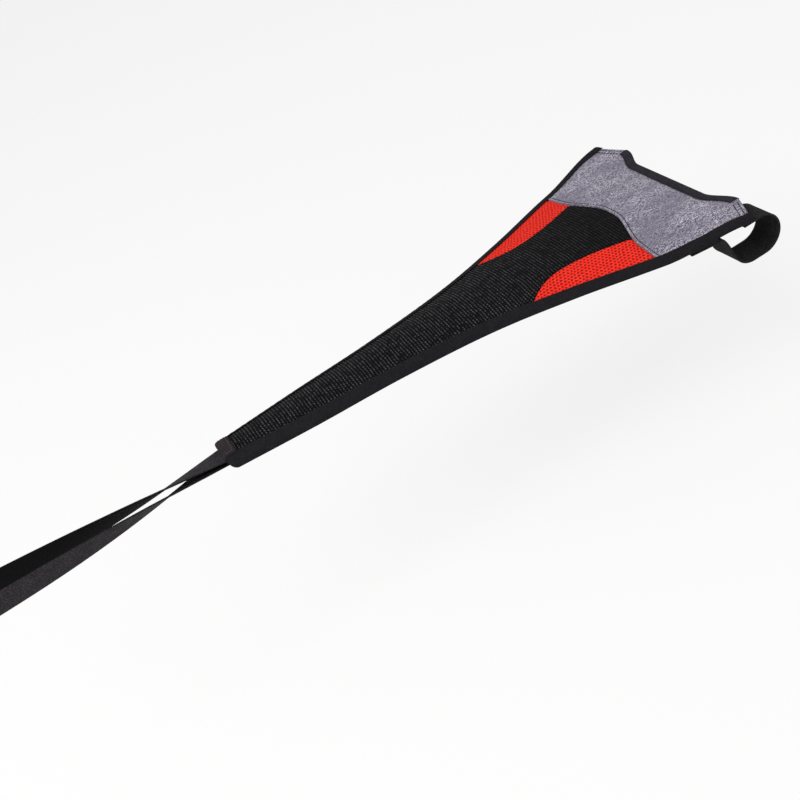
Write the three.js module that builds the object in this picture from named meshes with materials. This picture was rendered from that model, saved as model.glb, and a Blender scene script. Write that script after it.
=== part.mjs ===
// Sweat guard for a bicycle: a tapering cloth that runs from the handlebar back to the seat post.
// Two arms lie on the bar and are held by hook and loop straps, and one webbing strap goes round the post.
// Lengths are in millimetres. The origin is the middle of the handlebar's axis, +X points forwards,
// +Y to the left and +Z up. "behind" is a distance behind the bar's axis, so x is minus that, and
// "across" is a distance to the left of the middle line.

import * as THREE from "three";

// The bar and the post that the guard is made for
const barDiameter = 31.8;
const postDiameter = 27.2;
const barToPost = 655;

// Outline: half widths of the cloth, over its bindings, at their distances behind the bar
const armTipBehind = -2;
const armTipHalfWidth = 107;
const shoulderBehind = 70;
const shoulderHalfWidth = 87;
const chestBehind = 140;
const chestHalfWidth = 62.5;
const waistBehind = 210;
const waistHalfWidth = 43;
const hipBehind = 290;
const hipHalfWidth = 31.8;
const shankBehind = 365;
const shankHalfWidth = 26.5;
const tailBehind = 440;
const tailHalfWidth = 19.2;
const tailCornerRadius = 6;

// Front edge: the shallow neck between the arms, and the slanting end of each arm
const neckBehind = -6.5;
const neckDepth = 10.5;
const neckFlatHalfWidth = 44;
const armRootHalfWidth = 74;
const armRootFade = 4;
const armCutLength = 25;
const collarEndGap = 0.1;

// Lie of the cloth: level across the bar, higher over the stem, with its sides hanging down
const crownRise = 3.9;
const crownLength = 90;
const shoulderDroop = 10.5;
const tailDroop = 8.9;
const droopLength = 70;

// Layers
const clearance = 0.3;
const sheetGap = 0.4;
const liningThickness = 0.7;
const faceThickness = 2;
const insertThickness = 1.8;
const tapeThickness = 0.7;
const strapThickness = 1.5;
const patchThickness = 0.8;

// Binding tape, folded over every edge of the cloth
const tapeWidth = 10;
const sheetInset = 1.2;

// Face panels
const seamBehind = 58;
const seamSweep = 13.5;
const seamInnerHalfWidth = 4;
const seamOuterHalfWidth = 58;
const seamGap = 0.4;
const insertFrontHalfWidth = 45;
const insertWaistBehind = 134;
const insertWaistHalfWidth = 30.5;
const insertTipBehind = 169;
const insertTipStep = 1;
const ribPitch = 5;
const ribDepth = 0.5;
const holePitch = 7.4;
const holeRadius = 1.1;
const holeMargin = 2.6;

// Bar straps
const barStrapWidth = 28;
const barStrapMargin = 3;
const barStrapSewnLength = 4;
const leftStrapReach = 2;
const rightStrapReach = 12;
const barStrapReturnAngle = 250;
const barStrapSwing = 6;
const barStrapLeanSlope = 0.36;
const barStrapLeanBehind = 12;
const barStrapFlatLead = 4;
const hookPatchLength = 20;
const loopPatchLength = 24;
const hookPatchBehind = 28;
const hookPatchInset = 1;

// Post strap, and the folded patch over the tail's end
const webbingWidth = 20;
const webbingThickness = 1.4;
const webbingSewnLength = 24;
const webbingSag = 2;
const webbingLoopHeight = 20;
const webbingPatchWidth = 17;
const tailPatchWidth = 24;
const tailPatchLength = 10;
const tailPatchFold = 0.7;

const heatherGrey = new THREE.MeshStandardMaterial({ color: 0x96919b, roughness: 0.95 });
const meshBlack = new THREE.MeshStandardMaterial({ color: 0x1b191d, roughness: 0.85 });
const meshRed = new THREE.MeshStandardMaterial({ color: 0xf0382b, roughness: 0.8 });
const liningBlack = new THREE.MeshStandardMaterial({ color: 0x232226, roughness: 0.7 });
const tapeBlack = new THREE.MeshStandardMaterial({ color: 0x1e1c22, roughness: 0.8 });
const strapCharcoal = new THREE.MeshStandardMaterial({ color: 0x2e2c2d, roughness: 0.85 });
const patchBrown = new THREE.MeshStandardMaterial({ color: 0x2e2725, roughness: 0.8 });

const { clamp, lerp, smoothstep, degToRad } = THREE.MathUtils;

// Heights that follow from the layers, over the middle of the bar
const barRadius = barDiameter / 2;
const barStrapRadius = barRadius + clearance + strapThickness / 2;
const tapeUnder = clearance + tapeThickness;
const liningRest = barRadius + clearance + strapThickness + clearance + tapeUnder;
const faceLevel = liningThickness + sheetGap;
const faceTop = faceLevel + faceThickness;
const tapeTop = faceTop + clearance + tapeThickness;

const outline = new THREE.SplineCurve([
  new THREE.Vector2(armTipBehind, armTipHalfWidth),
  new THREE.Vector2(shoulderBehind, shoulderHalfWidth),
  new THREE.Vector2(chestBehind, chestHalfWidth),
  new THREE.Vector2(waistBehind, waistHalfWidth),
  new THREE.Vector2(hipBehind, hipHalfWidth),
  new THREE.Vector2(shankBehind, shankHalfWidth),
  new THREE.Vector2(tailBehind, tailHalfWidth),
]).getPoints(240);

// Half width of the cloth as the outline's curve gives it
function curveHalfWidth(behind) {
  const next = clamp(outline.findIndex((point) => point.x > behind), 1, outline.length - 1);
  const end = behind >= tailBehind ? outline.length - 1 : next;
  const [a, b] = [outline[end - 1], outline[end]];
  return lerp(a.y, b.y, (behind - a.x) / (b.x - a.x));
}

const tailCornerBehind = tailBehind - tailCornerRadius;

// Half width of the cloth, with the rounded corners of the tail
function halfWidth(behind) {
  const intoCorner = clamp((behind - tailCornerBehind) / tailCornerRadius, 0, 1);
  return curveHalfWidth(behind) - tailCornerRadius * (1 - Math.sqrt(1 - intoCorner ** 2));
}

// Front edge of the cloth at a distance from its middle line: neck, then the arm's slanting end
function frontEdge(across) {
  const out = Math.abs(across);
  if (out < armRootHalfWidth)
    return neckBehind - neckDepth * smoothstep(out, neckFlatHalfWidth, armRootHalfWidth);
  const armRootBehind = neckBehind - neckDepth;
  const slant = (armTipBehind - armRootBehind) / (armTipHalfWidth - armRootHalfWidth);
  return armRootBehind + slant * (out - armRootHalfWidth);
}

// Seam between the grey panel and the mesh panels: it curves back from the middle line
function seamLine(across) {
  return seamBehind + seamSweep * smoothstep(Math.abs(across), seamInnerHalfWidth, seamOuterHalfWidth);
}

// How far the cloth hangs below its middle line
function droop(behind, across) {
  const side = lerp(shoulderDroop, tailDroop, clamp(behind / tailBehind, 0, 1));
  return side * smoothstep(behind, 0, droopLength) * (across / curveHalfWidth(behind)) ** 2;
}

// Height of the lining's underside on the middle line
function crownHeight(behind) {
  return liningRest + crownRise * (1 - (1 - clamp(behind / crownLength, 0, 1)) ** 2);
}

// A point of the cloth, at a level above the lining's underside
function onCloth(behind, across, level) {
  return new THREE.Vector3(-behind, across, crownHeight(behind) - droop(behind, across) + level);
}

// A closed mesh from points and triangles; an inside-out one is turned round
function closedGeometry(points, triangles) {
  let volume = 0;
  const cross = new THREE.Vector3();
  for (const [a, b, c] of triangles) volume += points[a].dot(cross.crossVectors(points[b], points[c]));
  const facing = volume < 0 ? triangles.map(([a, b, c]) => [a, c, b]) : triangles;
  const geometry = new THREE.BufferGeometry().setFromPoints(points);
  geometry.setIndex(facing.flat());
  const faceted = geometry.toNonIndexed();
  faceted.computeVertexNormals();
  return faceted;
}

// Walls between two chains of points that run backwards side by side and may have different steps
function wallBetween(points, upper, lower, addTriangle) {
  let i = 0;
  let k = 0;
  while (i < upper.length - 1 || k < lower.length - 1) {
    const lowerDone = k === lower.length - 1;
    const upperNext = i < upper.length - 1 && points[upper[i + 1]].x >= points[lower[k + 1] ?? 0].x;
    if (lowerDone || upperNext) {
      addTriangle(upper[i], upper[i + 1], lower[k]);
      i += 1;
    } else {
      addTriangle(upper[i], lower[k + 1], lower[k]);
      k += 1;
    }
  }
}

// A closed block between an upper and a lower grid: rows run backwards, columns to the left
function blockBetween(upperRows, lowerRows) {
  const columns = upperRows[0].length;
  const points = [...upperRows.flat(), ...lowerRows.flat()];
  const lowerStart = upperRows.length * columns;
  const triangles = [];
  const quad = (a, b, c, d) => triangles.push([a, b, c], [a, c, d]);
  const upper = (row, column) => row * columns + column;
  const lower = (row, column) => lowerStart + row * columns + column;
  const lastUpper = upperRows.length - 1;
  const lastLower = lowerRows.length - 1;
  for (let j = 0; j < columns - 1; j += 1) {
    for (let i = 0; i < lastUpper; i += 1)
      quad(upper(i, j), upper(i, j + 1), upper(i + 1, j + 1), upper(i + 1, j));
    for (let i = 0; i < lastLower; i += 1)
      quad(lower(i, j), lower(i + 1, j), lower(i + 1, j + 1), lower(i, j + 1));
    quad(upper(0, j), lower(0, j), lower(0, j + 1), upper(0, j + 1));
    quad(upper(lastUpper, j), upper(lastUpper, j + 1), lower(lastLower, j + 1), lower(lastLower, j));
  }
  const chain = (pick, rows, column) => rows.map((_, row) => pick(row, column));
  wallBetween(points, chain(upper, upperRows, 0), chain(lower, lowerRows, 0), (a, b, c) =>
    triangles.push([a, b, c]));
  wallBetween(points, chain(upper, upperRows, columns - 1), chain(lower, lowerRows, columns - 1),
    (a, b, c) => triangles.push([a, c, b]));
  return closedGeometry(points, triangles);
}

// A closed bar whose rings of points all have the order of one flat section
function sweepRings(section, rings) {
  const turned = THREE.ShapeUtils.isClockWise(section);
  const contour = turned ? [...section].reverse() : section;
  const points = rings.flatMap((ring) => (turned ? [...ring].reverse() : ring));
  const size = section.length;
  const triangles = [];
  for (let i = 0; i < rings.length - 1; i += 1)
    for (let k = 0; k < size; k += 1) {
      const [a, b] = [i * size + k, i * size + ((k + 1) % size)];
      triangles.push([a, b, b + size], [a, b + size, a + size]);
    }
  const last = (rings.length - 1) * size;
  for (const [a, b, c] of THREE.ShapeUtils.triangulateShape(contour, []))
    triangles.push([c, b, a], [last + a, last + b, last + c]);
  return closedGeometry(points, triangles);
}

const steps = (count) => Array.from({ length: count + 1 }, (_, step) => step / count);

// Even places from one value up to another, which is left to the next stretch
const stepsOver = (from, to, count) => steps(count).slice(0, -1).map((s) => lerp(from, to, s));

// Plan of a panel between a front line, a rear line and two mirrored side lines
function panelPlan(front, rear, side) {
  const mirrored = (point) => new THREE.Vector2(point.x, -point.y);
  return (s, t) => {
    const left = (1 + t) / 2;
    const corner = (line, weight) =>
      line(1).multiplyScalar(weight * left).add(line(-1).multiplyScalar(weight * (1 - left)));
    return front(t).multiplyScalar(1 - s)
      .add(rear(t).multiplyScalar(s))
      .add(side(s).multiplyScalar(left))
      .add(mirrored(side(s)).multiplyScalar(1 - left))
      .sub(corner(front, 1 - s))
      .sub(corner(rear, s));
  };
}

// Rows of points over a plan, at the level that each row gives
function layRows(plan, rowPlaces, columnPlaces, level) {
  return rowPlaces.map((s, row) =>
    columnPlaces.map((t) => {
      const place = plan(s, t);
      return onCloth(place.x, place.y, level(row));
    }));
}

// Columns from side to side that pass through the given places on both halves
function columnsThrough(places, counts) {
  const half = places.flatMap((place, i) => stepsOver(i ? places[i - 1] : 0, place, counts[i]));
  return [-1, ...half.slice(1).reverse().map((t) => -t), ...half, 1];
}

const sheetHalfWidth = (behind) => halfWidth(behind) - sheetInset;

// The sheet's front line stays inside the neck's binding and comes to the edge on the arms
function sheetFront(across) {
  const past = smoothstep(Math.abs(across), armRootHalfWidth, armRootHalfWidth + armRootFade);
  return frontEdge(across) + sheetInset * (1 - past);
}

const armRootPlace = armRootHalfWidth / sheetHalfWidth(armTipBehind);
const neckFlatPlace = neckFlatHalfWidth / sheetHalfWidth(armTipBehind);

function clothLine(edge, reach) {
  return (t) => new THREE.Vector2(edge(t * reach), t * reach);
}

function sideLine(from, to, width) {
  return (s) => new THREE.Vector2(lerp(from, to, s), width(lerp(from, to, s)));
}

// Water-repellent backing, one sheet under all the face panels
function backingLining() {
  const rear = tailBehind - sheetInset;
  const columns = columnsThrough([neckFlatPlace, armRootPlace, 1], [3, 5, 3]);
  const plan = panelPlan(
    clothLine(sheetFront, sheetHalfWidth(armTipBehind)),
    clothLine(() => rear, sheetHalfWidth(rear)),
    sideLine(armTipBehind, rear, sheetHalfWidth),
  );
  const shoulder = (shoulderBehind - armTipBehind) / (rear - armTipBehind);
  const corner = (tailCornerBehind - armTipBehind) / (rear - armTipBehind);
  const rows = [...stepsOver(0, shoulder, 8), ...stepsOver(shoulder, corner, 15),
    ...stepsOver(corner, 1, 4), 1];
  return blockBetween(
    layRows(plan, rows, columns, () => liningThickness),
    layRows(plan, rows, columns, () => 0),
  );
}

// Grey jersey panel with both arms
function frontPanel() {
  const rear = seamBehind + seamSweep - seamGap / 2;
  const seamPlaces = [insertFrontHalfWidth, seamOuterHalfWidth].map((across) => across / sheetHalfWidth(rear));
  const columns = columnsThrough([neckFlatPlace, ...seamPlaces, armRootPlace, 1], [4, 2, 4, 1, 5]);
  const plan = panelPlan(
    clothLine(sheetFront, sheetHalfWidth(armTipBehind)),
    clothLine((across) => seamLine(across) - seamGap / 2, sheetHalfWidth(rear)),
    sideLine(armTipBehind, rear, sheetHalfWidth),
  );
  const rows = steps(9);
  return blockBetween(
    layRows(plan, rows, columns, () => faceTop),
    layRows(plan, rows, columns, () => faceLevel),
  );
}

const insertTipHalfWidth = halfWidth(insertTipBehind) - tapeWidth;

// Inner edge of a mesh insert: it narrows to its waist, then sweeps out to the side binding
function insertInnerEdge(behind) {
  const start = seamLine(insertFrontHalfWidth);
  if (behind < insertWaistBehind) {
    const along = (behind - start) / (insertWaistBehind - start);
    return lerp(insertFrontHalfWidth, insertWaistHalfWidth, Math.sin((clamp(along, 0, 1) * Math.PI) / 2));
  }
  const sweep = clamp((behind - insertWaistBehind) / (insertTipBehind - insertWaistBehind), 0, 1);
  return lerp(insertWaistHalfWidth, insertTipHalfWidth, sweep ** 2);
}

// The black panel begins behind the seam; behind the inserts' tips it steps out to the side bindings
const centreFront = seamLine(insertFrontHalfWidth) + seamGap / 2;
const centreRear = tailBehind - sheetInset;
const centreStepFront = insertTipBehind + seamGap;
const centreStepRear = centreStepFront + insertTipStep;

function centreHalfWidth(behind) {
  if (behind < centreStepFront) return insertInnerEdge(behind) - seamGap / 2;
  const step = clamp((behind - centreStepFront) / insertTipStep, 0, 1);
  return lerp(insertTipHalfWidth - seamGap / 2, sheetHalfWidth(behind), step);
}

// Rows of the black panel follow the seam at its front and run straight across behind the inserts' waist
function centreRow(behind, level, columns) {
  const fade = 1 - smoothstep(behind, centreFront, insertWaistBehind);
  return columns.map((t) => {
    const bow = seamLine(t * centreHalfWidth(centreFront)) - seamLine(insertFrontHalfWidth);
    return onCloth(behind + bow * fade, t * centreHalfWidth(behind), level);
  });
}

// Ribs across the black panel: a valley at the front of each and a crest in its middle
function ribRows(from, to) {
  const ribs = Math.round((to - from) / ribPitch);
  return stepsOver(from, to, 2 * ribs).map((behind, i) => [behind, i % 2 ? faceTop : faceTop - ribDepth]);
}

// Black spacer mesh, with ribs that run across it
function centrePanel() {
  const valley = faceTop - ribDepth;
  const columns = columnsThrough([1], [5]);
  const upper = [...ribRows(centreFront, centreStepFront), [centreStepFront, valley],
    ...ribRows(centreStepRear, centreRear), [centreRear, valley]];
  const lower = [...stepsOver(centreFront, centreStepFront, 18), centreStepFront,
    ...stepsOver(centreStepRear, tailCornerBehind, 16), ...stepsOver(tailCornerBehind, centreRear, 4),
    centreRear];
  return blockBetween(
    upper.map(([behind, level]) => centreRow(behind, level, columns)),
    lower.map((behind) => centreRow(behind, faceLevel, columns)),
  );
}

// Plan outline of the left mesh insert
function insertOutline() {
  const frontInner = seamLine(insertFrontHalfWidth) + seamGap / 2;
  const frontOuter = seamBehind + seamSweep + seamGap / 2;
  const innerEdge = stepsOver(frontInner, insertTipBehind, 16).map((behind) =>
    new THREE.Vector2(behind, insertInnerEdge(behind) + seamGap / 2));
  const tip = new THREE.Vector2(insertTipBehind, insertTipHalfWidth + seamGap / 2);
  const outerEdge = stepsOver(insertTipBehind + insertTipStep, frontOuter, 14).map((behind) =>
    new THREE.Vector2(behind, sheetHalfWidth(behind)));
  const seamEdge = [
    ...stepsOver(sheetHalfWidth(frontOuter), seamOuterHalfWidth, 4),
    ...stepsOver(seamOuterHalfWidth, insertFrontHalfWidth + seamGap, 4),
  ].map((across) => new THREE.Vector2(seamLine(across) + seamGap / 2, across));
  return [...innerEdge, tip, ...outerEdge, ...seamEdge];
}

// Rows of small round holes in a triangular pattern, inside the part of the insert that shows
function insertHoles() {
  const rowStep = (holePitch * Math.sqrt(3)) / 2;
  const first = seamBehind + seamSweep + holeMargin + holeRadius;
  const rows = Math.floor((insertTipBehind - first) / rowStep);
  const holes = [];
  for (let row = 0; row <= rows; row += 1) {
    const behind = first + row * rowStep;
    const inner = insertInnerEdge(behind) + holeMargin;
    const outer = halfWidth(behind) - tapeWidth - holeMargin;
    const shift = (row % 2) * (holePitch / 2);
    for (let across = inner + shift; across <= outer; across += holePitch)
      holes.push(new THREE.Vector2(behind, across));
  }
  return holes;
}

// Red mesh insert; side is 1 for the left one and -1 for the right one
function meshInsert(side) {
  const shape = new THREE.Shape(insertOutline());
  for (const centre of insertHoles())
    shape.holes.push(new THREE.Path().absarc(centre.x, centre.y, holeRadius, 0, 2 * Math.PI, true));
  const flat = new THREE.ExtrudeGeometry(shape, {
    depth: insertThickness,
    bevelEnabled: false,
    curveSegments: 3,
  });
  const position = flat.getAttribute("position");
  const points = [];
  for (let i = 0; i < position.count; i += 1)
    points.push(onCloth(position.getX(i), side * position.getY(i), faceLevel + position.getZ(i)));
  const triangles = [];
  for (let i = 0; i < points.length; i += 3) triangles.push([i, i + 1, i + 2]);
  return closedGeometry(points, triangles);
}

// Folded tape in section: distance in from the edge, and level above the lining's underside
function tapeSection(width) {
  const upper = tapeTop;
  const lower = -tapeUnder;
  const across = [width, width / 2];
  const level = (height) => across.map((inset) => new THREE.Vector2(inset, height));
  return [
    ...level(upper),
    new THREE.Vector2(tapeThickness, upper),
    new THREE.Vector2(0, faceTop),
    new THREE.Vector2(0, 0),
    new THREE.Vector2(tapeThickness, lower),
    ...level(lower).reverse(),
    ...level(-clearance),
    new THREE.Vector2(tapeThickness, -clearance),
    new THREE.Vector2(tapeThickness, faceTop + clearance),
    ...level(faceTop + clearance).reverse(),
  ];
}

// Side binding from the arm's tip to the tail; its front end is cut along the arm's slanting end
function edgeBinding(side) {
  const section = tapeSection(tapeWidth);
  const slant = (neckBehind - neckDepth - armTipBehind) / (armTipHalfWidth - armRootHalfWidth);
  const bend = stepsOver(0, Math.PI / 2, 5).map((turn) =>
    tailCornerBehind + tailCornerRadius * Math.sin(turn));
  const rings = [...stepsOver(armTipBehind, tailCornerBehind, 32), ...bend, tailBehind].map((behind) => {
    const lean = slant * (1 - smoothstep(behind, armTipBehind, armTipBehind + armCutLength));
    return section.map(({ x: inset, y: level }) =>
      onCloth(behind + lean * inset, side * (halfWidth(behind) - inset), level));
  });
  return sweepRings(section, rings);
}

// Binding of the neck, between the roots of the arms
function collarBinding() {
  const section = tapeSection(tapeWidth);
  const end = armRootHalfWidth - collarEndGap;
  const rings = steps(28).map((s) => {
    const across = lerp(-end, end, s);
    return section.map(({ x: inset, y: level }) => onCloth(frontEdge(across) + inset, across, level));
  });
  return sweepRings(section, rings);
}

// Patch over the tail's end: it lies on the bindings there and is folded down over their ends
function tailPatch() {
  const under = tapeTop + clearance;
  const outside = -clearance - tapeThickness;
  const section = [
    new THREE.Vector2(tailPatchLength, under + tapeThickness),
    new THREE.Vector2(outside, under + tapeThickness),
    new THREE.Vector2(outside, -tailPatchFold),
    new THREE.Vector2(-clearance, -tailPatchFold),
    new THREE.Vector2(-clearance, under),
    new THREE.Vector2(tailPatchLength, under),
  ];
  const rings = steps(6).map((s) =>
    section.map(({ x: inset, y: level }) =>
      onCloth(tailBehind - inset, lerp(-tailPatchWidth / 2, tailPatchWidth / 2, s), level)));
  return sweepRings(section, rings);
}

// Outline of a strip of one thickness along a flat path
function stripShape(path, thickness) {
  const side = (sign) =>
    path.map((point, i) => {
      const before = path[Math.max(i - 1, 0)];
      const after = path[Math.min(i + 1, path.length - 1)];
      const along = after.clone().sub(before).normalize();
      return new THREE.Vector2(
        point.x - (sign * along.y * thickness) / 2,
        point.y + (sign * along.x * thickness) / 2,
      );
    });
  return new THREE.Shape([...side(1), ...side(-1).reverse()]);
}

const patchSpace = clearance + patchThickness;
const barStrapMiddle = armTipHalfWidth - barStrapMargin - barStrapWidth / 2;
const barStrapLevel = -tapeUnder - 2 * patchSpace - clearance - strapThickness / 2;
const barStrapEnd = hookPatchBehind + hookPatchLength;

// Side view of a bar strap: forward over the bar, down in front of it and back under it, then up under
// the arm
function barStrapPath(reach) {
  const turn = degToRad(90 - barStrapReturnAngle);
  const leave = new THREE.Vector2(Math.cos(turn), Math.sin(turn)).multiplyScalar(barStrapRadius);
  const flat = hookPatchBehind - barStrapFlatLead;
  const path = new THREE.Path();
  path.moveTo(-barStrapSewnLength, barStrapRadius);
  path.lineTo(reach, barStrapRadius);
  path.absarc(reach, 0, barStrapRadius, Math.PI / 2, -Math.PI / 2, true);
  path.lineTo(0, -barStrapRadius);
  path.absarc(0, 0, barStrapRadius, -Math.PI / 2, turn, true);
  path.quadraticCurveTo(
    leave.x - barStrapSwing,
    crownHeight(flat) + barStrapLevel,
    -flat,
    crownHeight(flat) + barStrapLevel,
  );
  for (const s of steps(3).slice(1)) {
    const behind = lerp(flat, barStrapEnd, s);
    path.lineTo(-behind, crownHeight(behind) + barStrapLevel);
  }
  return path.getPoints(9);
}

// The cloth's hang and the arm's lean, for what lies on the underside of an arm
function underArm(x, across, z, side) {
  const behind = Math.max(-x, 0);
  const leant = across - barStrapLeanSlope * Math.max(behind - barStrapLeanBehind, 0);
  return new THREE.Vector3(x, side * leant, z - droop(behind, leant));
}

// Hook and loop strap that holds one arm on the bar; the right one is closed looser than the left
function barStrap(side) {
  const reach = side > 0 ? leftStrapReach : rightStrapReach;
  const flat = new THREE.ExtrudeGeometry(stripShape(barStrapPath(reach), strapThickness), {
    depth: barStrapWidth,
    steps: 2,
    bevelEnabled: false,
  });
  const position = flat.getAttribute("position");
  const start = barStrapMiddle - barStrapWidth / 2;
  const points = [];
  for (let i = 0; i < position.count; i += 1)
    points.push(underArm(position.getX(i), start + position.getZ(i), position.getY(i), side));
  const triangles = [];
  for (let i = 0; i < points.length; i += 3) triangles.push([i, i + 1, i + 2]);
  return closedGeometry(points, triangles);
}

// A flat patch under an arm, in line with its strap
function underArmPatch(side, from, length, level, width) {
  const layer = (height) =>
    steps(3).map((s) =>
      steps(3).map((t) => {
        const behind = lerp(from, from + length, s);
        const across = barStrapMiddle + (t - 0.5) * width;
        return underArm(-behind, across, crownHeight(behind) + height, side);
      }));
  return blockBetween(layer(level + patchThickness), layer(level));
}

const loopPatchBehind = hookPatchBehind - (loopPatchLength - hookPatchLength) / 2;
const hookPatchWidth = barStrapWidth - 2 * hookPatchInset;
const loopPatchLevel = -tapeUnder - patchSpace;
const hookPatchLevel = loopPatchLevel - patchSpace;

// Post strap: levels of its two layers at the tail, one sewn to the lining and one under it
const webbingHalf = webbingWidth / 2;
const webbingTailDroop = tailDroop * (webbingHalf / tailHalfWidth) ** 2;
const sewnWebbingHeight =
  crownHeight(tailBehind) - webbingTailDroop - tapeUnder - clearance - webbingThickness / 2;
const freeWebbingHeight = sewnWebbingHeight - webbingThickness - 2 * patchSpace - clearance;
const postLoopRadius = postDiameter / 2 + clearance + webbingThickness / 2;

// How far the webbing has turned onto its edge, from flat at the tail to upright at the post
function webbingTurn(behind) {
  const along = clamp((behind - tailBehind) / (barToPost - tailBehind), 0, 1);
  return (Math.PI / 2) * (1 - (1 - along) ** 1.8);
}

// Middle line of one run of webbing between the tail and its tangent point on the post's loop
function webbingRun(side, tailHeight) {
  const reach = barToPost - tailBehind;
  const tangent = Math.asin(postLoopRadius / reach);
  const end = barToPost - postLoopRadius * Math.sin(tangent);
  const flat = steps(3).slice(0, -1).map((s) => lerp(tailBehind - webbingSewnLength, tailBehind, s));
  const taut = steps(36).map((s) => lerp(tailBehind, end, s));
  return [...flat, ...taut].map((behind) => {
    const along = clamp((behind - tailBehind) / (end - tailBehind), 0, 1);
    const height = lerp(tailHeight, webbingLoopHeight, along) - webbingSag * Math.sin(Math.PI * along);
    return new THREE.Vector3(-behind, side * along * postLoopRadius * Math.cos(tangent), height);
  });
}

// Webbing strap: back from the tail, turning onto its edge, round the post and forward again
function postStrap() {
  const tangent = Math.asin(postLoopRadius / (barToPost - tailBehind));
  const round = steps(16).slice(1, -1).map((s) => {
    const angle = lerp(Math.PI / 2 - tangent, -Math.PI / 2 + tangent, s);
    return new THREE.Vector3(
      -barToPost - postLoopRadius * Math.cos(angle),
      postLoopRadius * Math.sin(angle),
      webbingLoopHeight,
    );
  });
  const away = webbingRun(1, sewnWebbingHeight);
  const back = webbingRun(-1, freeWebbingHeight).reverse();
  const middle = [...away, ...round, ...back];
  const section = [
    new THREE.Vector2(-webbingHalf, -webbingThickness / 2),
    new THREE.Vector2(webbingHalf, -webbingThickness / 2),
    new THREE.Vector2(webbingHalf, webbingThickness / 2),
    new THREE.Vector2(-webbingHalf, webbingThickness / 2),
  ];
  const rings = middle.map((point, i) => {
    const along = middle[Math.min(i + 1, middle.length - 1)].clone().sub(middle[Math.max(i - 1, 0)]);
    along.normalize();
    const turn = webbingTurn(-point.x);
    const width = new THREE.Vector3(0, -Math.cos(turn), Math.sin(turn));
    width.addScaledVector(along, -width.dot(along)).normalize();
    const face = new THREE.Vector3().crossVectors(along, width);
    return section.map(({ x, y }) => point.clone().addScaledVector(width, x).addScaledVector(face, y));
  });
  return sweepRings(section, rings);
}

// Hook and loop patches between the two layers of webbing at the tail
function webbingPatch(height) {
  const from = tailBehind - webbingSewnLength;
  const half = webbingPatchWidth / 2;
  const layer = (top) =>
    [from, tailBehind].map((behind) =>
      [-half, half].map((across) => new THREE.Vector3(-behind, across, height + top)));
  return blockBetween(layer(patchThickness), layer(0));
}

function piece(name, geometry, material) {
  const mesh = new THREE.Mesh(geometry, material);
  mesh.name = name;
  return mesh;
}

const guard = new THREE.Group();
guard.add(
  piece("backing_lining", backingLining(), liningBlack),
  piece("front_panel", frontPanel(), heatherGrey),
  piece("centre_panel", centrePanel(), meshBlack),
  piece("collar_binding", collarBinding(), tapeBlack),
  piece("tail_patch", tailPatch(), patchBrown),
  piece("post_strap", postStrap(), strapCharcoal),
  piece("post_strap_loop_patch", webbingPatch(sewnWebbingHeight - webbingThickness / 2 - patchSpace),
    strapCharcoal),
  piece("post_strap_hook_patch", webbingPatch(sewnWebbingHeight - webbingThickness / 2 - 2 * patchSpace),
    strapCharcoal),
);
for (const [sideName, side] of [["left", 1], ["right", -1]]) {
  guard.add(
    piece(`${sideName}_insert`, meshInsert(side), meshRed),
    piece(`${sideName}_edge_binding`, edgeBinding(side), tapeBlack),
    piece(`${sideName}_bar_strap`, barStrap(side), strapCharcoal),
    piece(`${sideName}_loop_patch`,
      underArmPatch(side, loopPatchBehind, loopPatchLength, loopPatchLevel, barStrapWidth),
      strapCharcoal),
    piece(`${sideName}_hook_patch`,
      underArmPatch(side, hookPatchBehind, hookPatchLength, hookPatchLevel, hookPatchWidth),
      strapCharcoal),
  );
}

export default guard;
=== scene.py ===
"""Bicycle sweat guard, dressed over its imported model.

A heather grey front with two arms, a black spacer mesh with red mesh inserts, folded edge bindings,
a water-repellent lining, two bar straps and one twisted webbing strap that goes round the seat post.
Sizes are in millimetres and angles in degrees; meshes are in metres. x is minus the distance behind
the handlebar's axis, y is the distance across to the left and z is the height.
"""

from __future__ import annotations

import logging
import math
from collections.abc import Callable
from dataclasses import dataclass, field
from enum import Enum
from functools import cached_property, partial

import bpy
import numpy as np
from mathutils import Matrix, Vector


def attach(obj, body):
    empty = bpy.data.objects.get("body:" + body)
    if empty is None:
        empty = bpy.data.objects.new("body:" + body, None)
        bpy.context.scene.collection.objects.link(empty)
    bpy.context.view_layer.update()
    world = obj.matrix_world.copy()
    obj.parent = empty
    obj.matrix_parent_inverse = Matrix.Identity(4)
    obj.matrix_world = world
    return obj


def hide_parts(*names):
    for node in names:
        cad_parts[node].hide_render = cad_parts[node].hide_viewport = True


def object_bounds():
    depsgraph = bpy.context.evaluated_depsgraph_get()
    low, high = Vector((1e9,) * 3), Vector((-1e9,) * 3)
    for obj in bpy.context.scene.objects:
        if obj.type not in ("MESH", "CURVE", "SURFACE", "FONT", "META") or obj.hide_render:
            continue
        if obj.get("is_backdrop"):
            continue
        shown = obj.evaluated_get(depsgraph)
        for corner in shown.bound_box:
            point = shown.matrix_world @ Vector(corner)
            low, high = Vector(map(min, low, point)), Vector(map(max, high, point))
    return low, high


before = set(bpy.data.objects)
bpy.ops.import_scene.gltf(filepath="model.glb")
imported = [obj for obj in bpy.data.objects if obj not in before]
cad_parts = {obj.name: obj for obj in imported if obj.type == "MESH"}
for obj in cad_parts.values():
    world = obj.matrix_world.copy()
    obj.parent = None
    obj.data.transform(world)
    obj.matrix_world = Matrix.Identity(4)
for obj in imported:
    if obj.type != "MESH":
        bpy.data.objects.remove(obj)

log = logging.getLogger("sweat_guard")

Array = np.ndarray
Number = Array | float
MM = 0.001
BODY = "root"
CRISP_FROM = 50


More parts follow.
